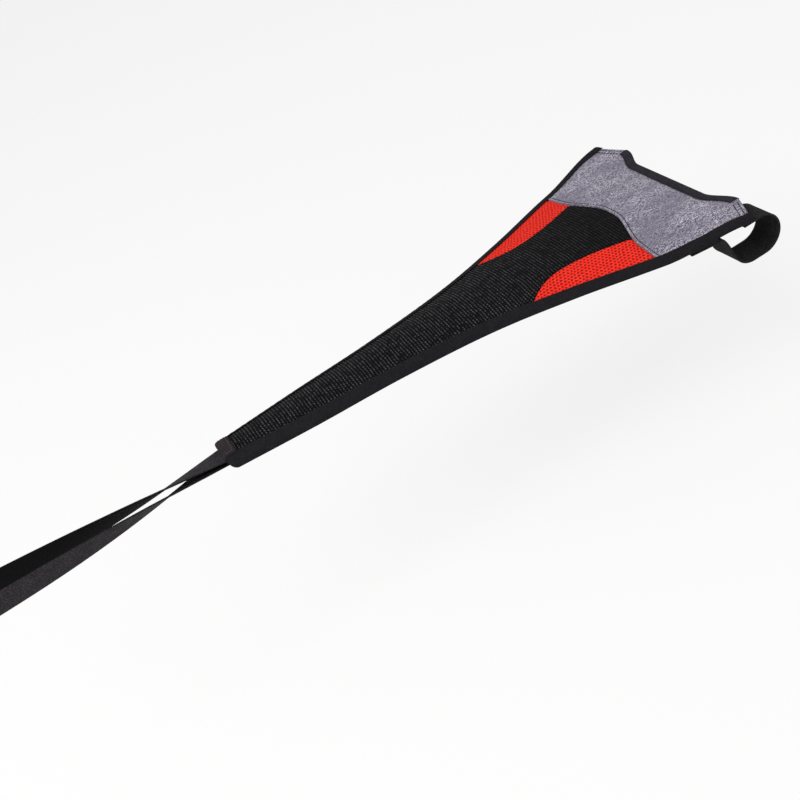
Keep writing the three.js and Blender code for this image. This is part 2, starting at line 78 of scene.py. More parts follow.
class Side(Enum):
    """The two halves of the guard, seen by the rider."""

    LEFT = 1
    RIGHT = -1

    @property
    def word(self) -> str:
        """The side's name as the nodes spell it."""
        return self.name.lower()


class Slot(Enum):
    """Material slots of the record."""

    JERSEY = "heather_jersey"
    SPACER = "spacer_mesh"
    RED_MESH = "red_mesh"
    LINING = "lining"
    TAPE = "binding_tape"
    WEBBING = "strap_webbing"
    PATCH = "tail_patch"
    HOOK_AND_LOOP = "hook_and_loop"


def smooth(value: Number, low: float, high: float) -> Number:
    """Smoothstep: 0 below low, 1 above high, and 3k squared minus 2k cubed between.

    Args:
        value: Any array.
        low: Where the rise starts.
        high: Where the rise ends.

    Returns:
        The eased array, from 0 to 1.
    """
    k = np.clip((value - low) / (high - low), 0, 1)
    return k * k * (3 - 2 * k)


def rim(distance: Array, radius: float) -> Array:
    """Fall of a quarter-round edge: 1 at the edge, 0 a radius inside it, on a circle between."""
    inside = np.clip(distance / radius, 0, 1)
    return 1 - np.sqrt(np.clip(1 - (1 - inside) ** 2, 0, 1))


def ridge(distance: Array, width: float) -> Array:
    """Bell-shaped ridge: one over e at half its width to each side."""
    return np.exp(-((2 * distance / width) ** 2))


def lerp(a: Number, b: Number, k: Number) -> Number:
    """Straight mix of a and b."""
    return a + (b - a) * k


@dataclass(frozen=True)
class HolePattern:
    """Staggered rows of ovals in a mesh cloth, in plan: its holes, or the yarn's nubs between them.

    Rows run across, or backwards where the pattern is turned. Row n holds ovals at (column + half of
    (n mod 2)) pitches, and the rows are moved by the offset. The mask is 1 inside an oval and 0
    outside, and it eases over a share of the oval's radius. Each size is along the rows, then from
    row to row. The finish lets the ovals wander a little over the wander's length, as a real mesh does.
    """

    pitch: float
    row_pitch: float
    radius: float
    row_radius: float
    softness: float = 0.3
    offset: float = 0.0
    turned: bool = False
    wander: float = 2.5
    wander_length: float = 9

    def cell(self, behind: Array, across: Array) -> tuple[Array, Array]:
        """Place in an oval's cell, from -0.5 to 0.5 both ways.

        Args:
            behind: Distances behind the bar.
            across: Distances from the middle line.

        Returns:
            The places along the row and from row to row, as shares of a pitch.
        """
        along, beside = (behind, across) if self.turned else (across, behind)
        row = (beside - self.offset) / self.row_pitch
        number = np.floor(row)
        column = along / self.pitch + np.mod(number * 0.5, 1)
        return np.mod(column, 1) - 0.5, row - number - 0.5

    def mask(self, behind: Array, across: Array) -> Array:
        """How far each place is inside an oval: a smoothstep of its distance as a share of the radii.

        Args:
            behind: Distances behind the bar.
            across: Distances from the middle line.

        Returns:
            Shares from 0 to 1.
        """
        u, v = self.cell(behind, across)
        reach = np.hypot(u * self.pitch / self.radius, v * self.row_pitch / self.row_radius)
        return 1 - smooth(reach, 1 - self.softness, 1 + self.softness)


SPACER_HOLES = HolePattern(2.5, 2.6, 0.8, 0.62)
SPACER_NUBS = HolePattern(2.5, 2.6, 0.86, 0.54, 0.5, 1.3)
RED_HOLES = HolePattern(3.4, 2.9, 0.75, 1.12, 0.55, turned=True)


@dataclass(frozen=True)
class Fold:
    """A soft ridge or hollow in the cloth along a straight line in plan."""

    start: tuple[float, float]
    end: tuple[float, float]
    width: float
    height: float
    rise: tuple[float, float] = (-0.1, 0.35)
    fall: tuple[float, float] = (0.65, 1.1)

    def lift(self, behind: Array, across: Array) -> Array:
        """Height that the fold adds: a bell across its line, which eases in and out by shares of its length.

        Args:
            behind: Distances behind the bar.
            across: Distances from the middle line.

        Returns:
            Added heights.
        """
        line = np.subtract(self.end, self.start)
        length = float(np.hypot(*line))
        along = ((behind - self.start[0]) * line[0] + (across - self.start[1]) * line[1]) / length**2
        beside = ((behind - self.start[0]) * line[1] - (across - self.start[1]) * line[0]) / length
        ends = smooth(along, *self.rise) * (1 - smooth(along, *self.fall))
        return self.height * ridge(beside, self.width) * ends


@dataclass(frozen=True)
class Drape:
    """The lie of the cloth: outline, heights, layers and soft folds."""

    stations: tuple[tuple[float, float], ...] = (
        (-2, 107), (70, 87), (140, 62.5), (210, 43), (290, 31.8), (365, 26.5), (440, 19.2),
    )
    tail_corner: float = 6
    neck_behind: float = -6.5
    neck_depth: float = 10.5
    neck_flat_half: float = 44
    arm_root_half: float = 74
    arm_root_fade: float = 4
    seam_behind: float = 58
    seam_sweep: float = 13.5
    seam_inner_half: float = 4
    seam_outer_half: float = 58
    insert_front_half: float = 45
    insert_waist_behind: float = 134
    insert_waist_half: float = 30.5
    insert_tip_behind: float = 169
    tape_width: float = 10
    lining_rest: float = 19.0
    crown_rise: float = 3.9
    crown_length: float = 90
    shoulder_droop: float = 10.5
    tail_droop: float = 8.9
    droop_length: float = 70
    lining_top: float = 0.7
    face_bottom: float = 1.1
    face_top: float = 3.1
    tape_top: float = 4.1
    tape_bottom: float = -1.0
    tape_thickness: float = 0.7
    folds: tuple[Fold, ...] = (
        Fold((4, 84), (50, 30), 14, 1.5),
        Fold((14, 92), (66, 62), 13, 1.3),
        Fold((6, 62), (40, 4), 12, -1.3),
        Fold((2, -82), (46, -34), 13, 1.5),
        Fold((24, -96), (58, -40), 13, -1.3),
        Fold((8, -52), (50, -14), 12, 1.2),
        Fold((10, 40), (10, -40), 15, -0.9),
        Fold((36, 44), (30, -44), 13, 1.0),
        Fold((100, -20), (190, -26), 16, 0.5),
        Fold((150, 12), (300, 8), 18, 0.6),
        Fold((230, -14), (380, -9), 16, -0.6),
    )

    @property
    def tip_behind(self) -> float:
        """Where the arms' outer tips lie."""
        return self.stations[0][0]

    @property
    def tail_behind(self) -> float:
        """Where the cloth ends."""
        return self.stations[-1][0]

    @cached_property
    def outline(self) -> Array:
        """Catmull-Rom curve through the stations.

        Returns:
            Rows of (behind, half width).
        """
        knots = np.array(self.stations, float)
        last = len(knots) - 1
        t = np.linspace(0, 1, 41)[:, None]
        spans = []
        for i in range(last):
            a, b, c, d = (knots[min(max(k, 0), last)] for k in (i - 1, i, i + 1, i + 2))
            v0, v1 = (c - a) / 2, (d - b) / 2
            cubic, square = 2 * b - 2 * c + v0 + v1, -3 * b + 3 * c - 2 * v0 - v1
            spans.append(cubic * t**3 + square * t**2 + v0 * t + b)
        return np.vstack([spans[0]] + [span[1:] for span in spans[1:]])

    def curve_half(self, behind: Number) -> Number:
        """Half width on the outline's curve."""
        return np.interp(behind, self.outline[:, 0], self.outline[:, 1])

    def half_width(self, behind: Number) -> Number:
        """Half width over the bindings, with the tail's rounded corners."""
        into = np.clip((behind - self.tail_behind) / self.tail_corner + 1, 0, 1)
        return self.curve_half(behind) - self.tail_corner * (1 - np.sqrt(1 - into**2))

    def front_edge(self, across: Array) -> Array:
        """Front edge: the neck's smoothstep curve, then each arm's straight slanting end.

        Args:
            across: Distances from the middle line.

        Returns:
            Distances behind the bar.
        """
        out = np.abs(across)
        neck = self.neck_behind - self.neck_depth * smooth(out, self.neck_flat_half, self.arm_root_half)
        root = self.neck_behind - self.neck_depth
        slant = (self.tip_behind - root) / (self.stations[0][1] - self.arm_root_half)
        return np.where(out < self.arm_root_half, neck, root + slant * (out - self.arm_root_half))

    def seam_line(self, across: Number) -> Number:
        """Seam behind the grey panel: a smoothstep curve back from the middle line, then straight across."""
        back = smooth(np.abs(across), self.seam_inner_half, self.seam_outer_half)
        return self.seam_behind + self.seam_sweep * back

    def insert_inner(self, behind: Number) -> Number:
        """Inner edge of a red insert: a quarter sine in to its waist, then a parabola out to its tip.

        Args:
            behind: Distances behind the bar.

        Returns:
            Distances from the middle line.
        """
        start = self.seam_line(self.insert_front_half)
        along = np.clip((behind - start) / (self.insert_waist_behind - start), 0, 1)
        narrowing = lerp(self.insert_front_half, self.insert_waist_half, np.sin(along * math.pi / 2))
        tip_half = self.half_width(self.insert_tip_behind) - self.tape_width
        sweep = (behind - self.insert_waist_behind) / (self.insert_tip_behind - self.insert_waist_behind)
        widening = lerp(self.insert_waist_half, tip_half, np.clip(sweep, 0, None) ** 2)
        return np.where(behind < self.insert_waist_behind, narrowing, widening)

    def height(self, behind: Array, across: Array) -> Array:
        """Height of the lining's underside: the crown's parabola less the sides' droop, plus the folds.

        The droop goes with the square of the place across.

        Args:
            behind: Distances behind the bar.
            across: Distances from the middle line.

        Returns:
            Heights over the bar's axis.
        """
        rise = 1 - (1 - np.clip(behind / self.crown_length, 0, 1)) ** 2
        side = lerp(self.shoulder_droop, self.tail_droop, np.clip(behind / self.tail_behind, 0, 1))
        hang = side * smooth(behind, 0, self.droop_length) * (across / self.curve_half(behind)) ** 2
        lift = sum(fold.lift(behind, across) for fold in self.folds)
        return self.lining_rest + self.crown_rise * rise - hang + lift

    def place(self, behind: Number, across: Number, level: Number) -> Array:
        """Points of the cloth.

        Args:
            behind: Distances behind the bar.
            across: Distances from the middle line.
            level: Heights above the lining's underside.

        Returns:
            Points in millimetres, in one more axis of three.
        """
        behind, across, level = np.broadcast_arrays(behind, across, level)
        return np.stack([-behind, across, self.height(behind, across) + level], axis=-1)

    def panel(self, behind: Array, across: Array, level: Array, stride: int) -> Surface:
        """Face cloth: its top at the given levels, over a coarser underside that lies on the lining.

        Args:
            behind: Distances behind the bar, rows by columns.
            across: Distances from the middle line.
            level: Levels of the top above the lining's underside.
            stride: Steps of the top to one step of the underside.

        Returns:
            The closed surface.
        """
        under = self.place(behind[::stride, ::stride], across[::stride, ::stride], self.face_bottom)
        return slab(self.place(behind, across, level), under, stride)


DRAPE = Drape()


def grid_quads(rows: int, columns: int, wrap: bool = False) -> Array:
    """Quads of a grid of points that runs backwards by rows and to the left by columns.

    Args:
        rows: Number of rows.
        columns: Number of columns.
        wrap: Whether the last column joins the first one.

    Returns:
        Vertex numbers, four to a quad.
    """
    i, j = np.meshgrid(np.arange(rows - 1), np.arange(columns if wrap else columns - 1), indexing="ij")
    a, b = i * columns + j, i * columns + (j + 1) % columns
    return np.stack([a, b, b + columns, a + columns], axis=-1).reshape(-1, 4)


@dataclass
class Surface:
    """Points and faces of one closed piece, with its own flat coordinates."""

    points: Array
    faces: list[list[int]]
    flat: Array | None = None

    def piece(
        self, name: str, material: bpy.types.Material, slot: Slot, nodes: tuple[str, ...] = ()
    ) -> bpy.types.Object:
        """Make the piece, put its finish on it and let it ride on the guard.

        Args:
            name: The piece's name.
            material: Its finish.
            slot: The record's slot for the finish; not used.
            nodes: CAD nodes that the piece stands for.

        Returns:
            The new object, with its place in its mesh.
        """
        mesh = bpy.data.meshes.new(name)
        mesh.from_pydata((self.points * MM).tolist(), [], self.faces)
        if self.flat is not None:
            corners = np.empty(len(mesh.loops), np.int32)
            mesh.loops.foreach_get("vertex_index", corners)
            layer = mesh.uv_layers.new(name="FlatMillimetres")
            layer.data.foreach_set("uv", self.flat[corners].astype(np.float32).ravel())
        mesh.polygons.foreach_set("use_smooth", np.ones(len(mesh.polygons), bool))
        mesh.set_sharp_from_angle(angle=math.radians(CRISP_FROM))
        mesh.materials.append(material)
        mesh.validate()
        thing = bpy.data.objects.new(name, mesh)
        bpy.context.scene.collection.objects.link(thing)
        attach(thing, BODY)
        if nodes:
            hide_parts(*nodes)
        log.info("%s: %d faces", name, len(mesh.polygons))
        return thing


def closed(points: Array, faces: list[list[int]], flat: Array | None = None) -> Surface:
    """Closed surface whose faces look outwards.

    Six times its volume is the sum of the triple products of fans about each face's first corner. Where
    that is negative, every face is turned round.

    Args:
        points: Its points.
        faces: Its faces, which all look outwards or all look inwards.
        flat: Its flat coordinates, where it has them.

    Returns:
        The surface.
    """
    volume = 0.0
    for size in {len(face) for face in faces}:
        corners = points[np.array([face for face in faces if len(face) == size])]
        for k in range(1, size - 1):
            volume += float(np.einsum("ij,ij->", corners[:, 0], np.cross(corners[:, k], corners[:, k + 1])))
    return Surface(points, faces if volume > 0 else [face[::-1] for face in faces], flat)


def slab(top: Array, bottom: Array, stride: int) -> Surface:
    """Closed cloth between a fine upper grid and a lower grid of every stride-th place.

    Rows run backwards and columns to the left. Each wall fans out from a lower edge to its stride
    of upper edges.

    Args:
        top: Upper points, rows by columns by three.
        bottom: Lower points at every stride-th row and column of the upper ones.
        stride: Upper steps to one lower step.

    Returns:
        The closed surface.
    """
    rows, columns = top.shape[:2]
    low_rows, low_columns = bottom.shape[:2]
    start = rows * columns
    upper = np.arange(start).reshape(rows, columns)
    lower = start + np.arange(low_rows * low_columns).reshape(low_rows, low_columns)
    quads = [grid_quads(rows, columns), start + grid_quads(low_rows, low_columns)[:, ::-1]]
    triangles = []
    ends = ((upper[0], lower[0], 1), (upper[-1], lower[-1], -1))
    sides = ((upper[:, 0], lower[:, 0], -1), (upper[:, -1], lower[:, -1], 1))
    for high, low, turn in ends + sides:
        cut = np.arange(len(high) - 1)
        apex = low[cut // stride + (cut % stride >= stride // 2)]
        spans = np.arange(len(low) - 1)
        fans = np.vstack([
            np.stack([high[cut + 1], high[cut], apex], axis=-1),
            np.stack([high[spans * stride + stride // 2], low[spans], low[spans + 1]], axis=-1),
        ])
        triangles.append(fans if turn > 0 else fans[:, ::-1])
    faces = np.vstack(quads).tolist() + np.vstack(triangles).tolist()
    return closed(np.vstack([top.reshape(-1, 3), bottom.reshape(-1, 3)]), faces)


def sweep(rings: Array, across: Array, along: Array) -> Surface:
    """Closed bar from rings of points in the same order, capped at both ends.

    Args:
        rings: Points, rings by section by three.
        across: Length round the section to each of its points.
        along: Length along the path to each ring.

    Returns:
        The closed surface with (round, along) as flat coordinates.
    """
    count, size = rings.shape[:2]
    last = (count - 1) * size
    caps = [list(range(size))[::-1], list(range(last, last + size))]
    faces = grid_quads(count, size, wrap=True).tolist() + caps
    flat = np.stack(np.broadcast_arrays(across[None, :], along[:, None]), axis=-1).reshape(-1, 2)
    return closed(rings.reshape(-1, 3), faces, flat)


def lengths(points: Array) -> Array:
    """Running length along a line of points, from 0."""
    return np.concatenate([[0], np.cumsum(np.linalg.norm(np.diff(points, axis=0), axis=1))])


def unit(vectors: Array) -> Array:
    """Vectors scaled to length one."""
    return vectors / np.linalg.norm(vectors, axis=-1, keepdims=True)


def ribbon(middle: Array, wide: Array, width: float, thickness: float, bulge: float) -> Surface:
    """Flat strap along a line, with rounded edges.

    The section is a rectangle whose ends are half circles of the thickness; it stands on the line
    with its width along the given directions.

    Args:
        middle: Points of the strap's middle line.
        wide: Direction of the width at each point.
        width: Strap width.
        thickness: Strap thickness.
        bulge: Extra thickness of the woven edges.

    Returns:
        The closed strap, with (round the section, along) as flat coordinates.
    """
    along = unit(np.gradient(middle, axis=0))
    wide = unit(wide - along * np.einsum("ij,ij->i", wide, along)[:, None])
    face = np.cross(along, wide)
    section = strap_section(width, thickness, bulge)
    rings = middle[:, None] + wide[:, None] * section[None, :, :1] + face[:, None] * section[None, :, 1:]
    return sweep(rings, lengths(section), lengths(middle))


def strap_section(width: float, thickness: float, bulge: float) -> Array:
    """Section of a strap: two long sides and two half-round edges.

    Args:
        width: Strap width.
        thickness: Strap thickness.
        bulge: Extra thickness of the woven edges, which grows with the twelfth power of the place across.

    Returns:
        Rows of (across, through).
    """
    half, radius = width / 2, thickness / 2
    u = np.linspace(-1, 1, 15)
    side = np.stack([u * (half - radius), radius + bulge * np.abs(u) ** 12], axis=-1)
    turn = np.radians(np.linspace(90, -90, 6)[1:-1])
    edge = np.stack([half - radius + radius * np.cos(turn), radius * np.sin(turn)], axis=-1)
    return np.vstack([side, edge, -side, -edge])


@dataclass(frozen=True)
class Stitching:
    """A row of thread stitches, each a short bowed capsule that sinks in at both ends."""

    pitch: float
    length: float
    radius: float
    bow: float = 0.16
    tip_share: float = 0.94

    def rows(self, lines: list[Array]) -> Surface:
        """Sew along lines of points.

        A stitch's radius is the thread's times the root of one less the square of its place; its
        height is a parabola from end to end, and up is +Z made square to the stitch.

        Args:
            lines: Lines of points on the cloth.

        Returns:
            All the stitches as one surface.
        """
        starts, ends = zip(*(self.spots(line) for line in lines))
        start, end = np.vstack(starts), np.vstack(ends)
        s = np.linspace(-self.tip_share, self.tip_share, 6)
        turn = np.linspace(0, 2 * math.pi, 7)[:-1]
        along = unit(end - start)
        side = unit(np.cross([0.0, 0.0, 1.0], along))
        up = np.cross(along, side)
        centre = (start + end)[:, None] / 2 + (end - start)[:, None] * s[None, :, None] / 2
        centre = centre + up[:, None] * (self.bow * (1 - s**2))[None, :, None]
        radius = self.radius * np.sqrt(1 - s**2)
        ring = side[:, None] * np.cos(turn)[None, :, None] + up[:, None] * np.sin(turn)[None, :, None]
        points = centre[:, :, None] + ring[:, None] * radius[None, :, None, None]
        block = len(s) * len(turn)
        quads = grid_quads(len(s), len(turn), wrap=True)
        offsets = (np.arange(len(start)) * block)[:, None, None]
        caps = np.stack([np.arange(len(turn))[::-1], np.arange(block - len(turn), block)])
        faces = (quads[None] + offsets).reshape(-1, 4).tolist()
        faces += (caps[None] + offsets).reshape(-1, len(turn)).tolist()
        return closed(points.reshape(-1, 3), faces)

    def spots(self, line: Array) -> tuple[Array, Array]:
        """Ends of each stitch along one line, evenly shared over its length.

        Args:
            line: Points of the line.

        Returns:
            The stitches' starts and ends.
        """
        run = lengths(line)
        count = max(int(run[-1] / self.pitch), 1)
        middle = (np.arange(count) + 0.5) * run[-1] / count
        at = [np.stack([np.interp(middle + shift, run, line[:, k]) for k in range(3)], axis=-1)
              for shift in (-self.length / 2, self.length / 2)]
        return at[0], at[1]


def srgb(code: int) -> tuple[float, float, float, float]:
    """Linear colour of an sRGB hex value: the usual curve, with its straight foot.

    Args:
        code: Red, green and blue, a byte each.

    Returns:
        Linear red, green, blue and an alpha of 1.
    """
    parts = [((code >> shift) & 255) / 255 for shift in (16, 8, 0)]
    red, green, blue = (c / 12.92 if c <= 0.04045 else ((c + 0.055) / 1.055) ** 2.4 for c in parts)
    return red, green, blue, 1.0


Socket = bpy.types.NodeSocket
Feed = Socket | float | tuple[float, ...]
Size = tuple[float, float, float]


def feed(tree: bpy.types.NodeTree, entry: Socket, value: Feed) -> None:
    """Link a socket to an input, or set the input's value.

    Args:
        tree: Node tree of both.
        entry: The input.
        value: What feeds it.
    """
    if isinstance(value, Socket):
        tree.links.new(value, entry)
    else:
        entry.default_value = value


def add(
    tree: bpy.types.NodeTree, kind: str, feeds: dict[str | int, Feed], out: str | int = 0, **settings: object
) -> Socket:
    """Add a node with its settings, and link or set its inputs.

    Args:
        tree: Node tree of the finish.
        kind: Node type, without its ShaderNode prefix.
        feeds: Input name or number to the socket that feeds it, or to its value.
        out: Name or number of the output in use.
        settings: Properties of the node.

    Returns:
        The output in use.
    """
    node = tree.nodes.new("ShaderNode" + kind)
    for key, value in settings.items():
        setattr(node, key, value)
    for key, value in feeds.items():
        feed(tree, node.inputs[key], value)
    return node.outputs[out]


class Cloth:
    """Base of the finishes: a material with a Principled shader and places in millimetres."""

    name: str
    roughness: float
    specular: float
    sheen = 0.0

    def __init__(self) -> None:
        """Make the material, set what is the same all over it and lay its nodes."""
        self.material = bpy.data.materials.new(self.name)
        self.material.use_nodes = True
        self.tree = self.material.node_tree
        self.add = partial(add, self.tree)
        shader = self.tree.nodes["Principled BSDF"]
        shader.inputs["Roughness"].default_value = self.roughness
        shader.inputs["Sheen Weight"].default_value = self.sheen
        shader.inputs["Specular IOR Level"].default_value = self.specular
        self.lay()

    def lay(self) -> None:
        """Lay the finish's own nodes; each finish has its own."""

    def dress(
        self, colour: Socket, height: Socket | None = None, depth: float = 0.0, strength: float = 1.0
    ) -> None:
        """Give the shader its colour, and a relief with a real depth.

        Args:
            colour: The surface's colour.
            height: Height from 0 to 1, where there is a relief.
            depth: Millimetres to a height of 1.
            strength: Share of the relief that shows.
        """
        shader = self.tree.nodes["Principled BSDF"]
        feed(self.tree, shader.inputs["Base Color"], colour)
        if height is not None:
            bump = self.add("Bump", {"Height": height, "Distance": depth * MM, "Strength": strength})
            feed(self.tree, shader.inputs["Normal"], bump)

    def object_mm(self, size: Size = (1, 1, 1), turn: float = 0.0) -> Socket:
        """Object coordinates in units of a size.

        Args:
            size: Millimetres to a unit on each axis.
            turn: Degrees that they are turned about +Z.

        Returns:
            The coordinates.
        """
        place = self.add("TexCoord", {}, "Object")
        scale, turned = tuple(1000 / s for s in size), (0, 0, math.radians(turn))
        return self.add("Mapping", {"Vector": place, "Scale": scale, "Rotation": turned}, vector_type="POINT")

    def flat_mm(self) -> tuple[Socket, Socket]:
        """The piece's own flat coordinates: across and along, in millimetres."""
        place = self.add("UVMap", {}, uv_map="FlatMillimetres")
        return self.add("SeparateXYZ", {0: place}, 0), self.add("SeparateXYZ", {0: place}, 1)

    def grain(self, size: Size, detail: float = 2.0, roughness: float = 0.5, turn: float = 0.0) -> Socket:
        """Random shares from 0 to 1 in grains of a size.

        Args:
            size: Their size in millimetres.
            detail: How many finer grains are added.
            roughness: How strong the finer ones are.
            turn: Degrees about +Z.

        Returns:
            The share.
        """
        place = self.object_mm(size, turn)
        return self.add("TexNoise", {"Vector": place, "Scale": 1.0, "Detail": detail, "Roughness": roughness})

    def shade(
        self, value: Socket, low: float, high: float, first: Feed, last: Feed, most: float = 1.0
    ) -> Socket:
        """Colour that eases from the first to the last by a smoothstep of a value.

        Args:
            value: The value.
            low: Where the first colour ends.
            high: Where the last one is reached.
            first: Colour below low.
            last: Colour above high.
            most: Largest share of the last colour.

        Returns:
            The colour.
        """
        span = {0: value, 1: low, 2: high, 3: 0.0, 4: most}
        share = self.add("MapRange", span, interpolation_type="SMOOTHSTEP")
        return self.add("Mix", {0: share, 6: first, 7: last}, 2, data_type="RGBA")

    def ovals(self, pattern: HolePattern) -> tuple[Socket, Socket]:
        """Mask of a mesh's ovals and of the crests between their rows, by HolePattern's formula.

        Args:
            pattern: The rows of ovals.

        Returns:
            The ovals' mask, and the distance from the row's middle as a share of half a pitch.
        """
        place = self.object_mm((-1, 1, 1))
        behind, across = (self.add("SeparateXYZ", {0: place}, axis) for axis in (0, 1))
        along, beside = (behind, across) if pattern.turned else (across, behind)
        cloud = self.grain((pattern.wander_length,) * 3, 1.0)
        drift = self.add("Math", {0: cloud, 1: 0.5}, operation="SUBTRACT")
        along = self.add("Math", {0: drift, 1: pattern.wander, 2: along}, operation="MULTIPLY_ADD")
        beside = self.add("Math", {0: drift, 1: pattern.wander / 2, 2: beside}, operation="MULTIPLY_ADD")
        first = -pattern.offset / pattern.row_pitch
        row = self.add("Math", {0: beside, 1: 1 / pattern.row_pitch, 2: first}, operation="MULTIPLY_ADD")
        number = self.add("Math", {0: row}, operation="FLOOR")
        half = self.add("Math", {0: number, 1: 0.5}, operation="MULTIPLY")
        stagger = self.add("Math", {0: half}, operation="FRACT")
        column = self.add("Math", {0: along, 1: 1 / pattern.pitch, 2: stagger}, operation="MULTIPLY_ADD")
        cell = [self.add("Math", {0: place}, operation="FRACT") for place in (column, row)]
        cell = [self.add("Math", {0: place, 1: 0.5}, operation="SUBTRACT") for place in cell]
        radii = pattern.pitch / pattern.radius, pattern.row_pitch / pattern.row_radius, 0.0
        pair = self.add("CombineXYZ", dict(enumerate(cell)))
        scaled = self.add("VectorMath", {0: pair, 1: radii}, operation="MULTIPLY")
        reach = self.add("VectorMath", {0: scaled}, 1, operation="LENGTH")
        edge = {0: reach, 1: 1 - pattern.softness, 2: 1 + pattern.softness, 3: 1.0, 4: 0.0}
        oval = self.add("MapRange", edge, interpolation_type="SMOOTHSTEP")
        middle = self.add("Math", {0: cell[1]}, operation="ABSOLUTE")
        return oval, self.add("Math", {0: middle, 1: 2.0}, operation="MULTIPLY")


class HeatherJersey(Cloth):
    """Melange polyester jersey, knitted: purplish grey with crossed darker and lighter streaks, soft nap."""

    name = "heather_polyester_jersey"
    roughness = 0.95
    sheen = 0.12
    specular = 0.12

    def lay(self) -> None:
        """Crossed streaks 0.8 by 3.2 mm, drawn larger than the yarn's 0.4 mm to show, over wide clouds."""
        streaks = [self.grain((3.2, 0.8, 2.0), 2.0, 0.6, turn) for turn in (52, -40)]
        cross = self.add("Math", {0: streaks[1], 1: 0.8, 2: -0.3}, operation="MULTIPLY_ADD")
        crossed = self.add("Math", {0: streaks[0], 1: 0.8, 2: cross}, operation="MULTIPLY_ADD")
        fleck = self.grain((1.0, 1.0, 1.0), 2.0, 0.7)
        cloud = self.grain((40, 18, 25), 2.0, 0.5, 35)
        base = self.shade(crossed, 0.43, 0.59, srgb(0x524D5E), srgb(0xB2ADBB))
        light = self.shade(fleck, 0.53, 0.64, base, srgb(0xD6D2DC))
        dark = self.shade(fleck, 0.46, 0.35, light, srgb(0x3B3646))
        height = self.add("Math", {0: fleck, 1: 0.6, 2: crossed}, operation="MULTIPLY_ADD")
        self.dress(self.shade(cloud, 0.35, 0.62, dark, srgb(0x6C6678), 0.55), height, 0.15, 0.6)


class SpacerMesh(Cloth):
    """Polyester spacer mesh, warp knitted: black yarn nubs in rows with a painted highlight, over deep
    eyelets.
    """

    name = "black_spacer_mesh"
    roughness = 0.8
    specular = 0.1
    seam_shade_from = 60.0
    seam_shade_to = 210.0

    def lay(self) -> None:
        """Nubs 1.7 by 1.1 mm in staggered rows 2.6 mm apart; painted shade dims their painted highlight near
        the seam, and it is brightest towards the tail.
        """
        hole, nub = self.ovals(SPACER_HOLES)[0], self.ovals(SPACER_NUBS)[0]
        behind = self.add("SeparateXYZ", {0: self.object_mm((-1, 1, 1))})
        # Painted shade: by the distance behind the bar, the nubs' painted highlight is dimmed near the seam
        # and brightens towards the tail.
        seam_shade_span = {0: behind, 1: self.seam_shade_from, 2: self.seam_shade_to, 3: 0.35, 4: 1.1}
        seam_shade = self.add("MapRange", seam_shade_span, interpolation_type="SMOOTHSTEP")
        sheen = {0: self.grain((4, 3, 4), 3.0, 0.7), 1: 0.36, 2: 0.66}
        yarn = self.add("MapRange", sheen, interpolation_type="SMOOTHSTEP")
        share = self.add("Math", {0: yarn, 1: seam_shade}, operation="MULTIPLY")
        # Painted highlight: the nubs' lit colour stands in for the light that they catch.
        lit = self.add("Mix", {0: share, 6: srgb(0x111013), 7: srgb(0x545156)}, 2, data_type="RGBA")
        ground = self.add("Mix", {0: nub, 6: srgb(0x080809), 7: lit}, 2, data_type="RGBA")
        colour = self.add("Mix", {0: hole, 6: ground, 7: srgb(0x020202)}, 2, data_type="RGBA")
        raised = self.add("Math", {0: nub, 1: 0.5, 2: 0.5}, operation="MULTIPLY_ADD")
        self.dress(colour, self.add("Math", {0: raised, 1: hole}, operation="SUBTRACT"), 0.5, 0.7)


class RedMesh(Cloth):
    """Polyester sport mesh, warp knitted and dyed bright red, with rows of small eyelets."""

    name = "red_sport_mesh"
    roughness = 0.8
    specular = 0.1

    def lay(self) -> None:
        """Eyelets 2.2 by 1.5 mm in rows 2.9 mm apart: dark red inside, with painted shade in deeper red along
        their rows.
        """
        hole, crest = self.ovals(RED_HOLES)
        yarn = self.grain((2.2, 2.2, 2.2), 2.0, 0.6)
        lit = self.shade(yarn, 0.3, 0.7, srgb(0xF42A1E), srgb(0xFF4432))
        # Painted shade: the red darkens towards the middle of each row of eyelets.
        rib = self.shade(crest, 0.0, 0.7, srgb(0xE6231A), lit)
        colour = self.add("Mix", {0: hole, 6: rib, 7: srgb(0x860F0C)}, 2, data_type="RGBA")
        raised = self.add("Math", {0: 1.0, 1: hole}, operation="SUBTRACT")
        self.dress(colour, self.add("Math", {0: yarn, 1: 0.2, 2: raised}, operation="MULTIPLY_ADD"), 0.3, 0.6)


class Lining(Cloth):
    """Coated polyester taffeta: dark, smooth and a little shiny, with a fine plain weave."""

    name = "coated_taffeta_lining"
    roughness = 0.5
    specular = 0.3

    def lay(self) -> None:
        """Plain weave drawn at 1.1 mm, three times its thread, over faint creases of 9 mm."""
        thread = {"Vector": self.object_mm((1.1, 1.1, 1.1)), "Scale": 0.31}
        warp, weft = (self.add("TexWave", thread, 1, bands_direction=way) for way in ("X", "Y"))
        weave = self.add("Math", {0: warp, 1: weft}, operation="MULTIPLY")
        cloud = self.grain((9, 9, 9), 3.0, 0.55)
        height = self.add("Math", {0: cloud, 1: 1.5, 2: weave}, operation="MULTIPLY_ADD")
        self.dress(self.shade(cloud, 0.3, 0.7, srgb(0x1F1E22), srgb(0x2B2A2F)), height, 0.12, 0.6)


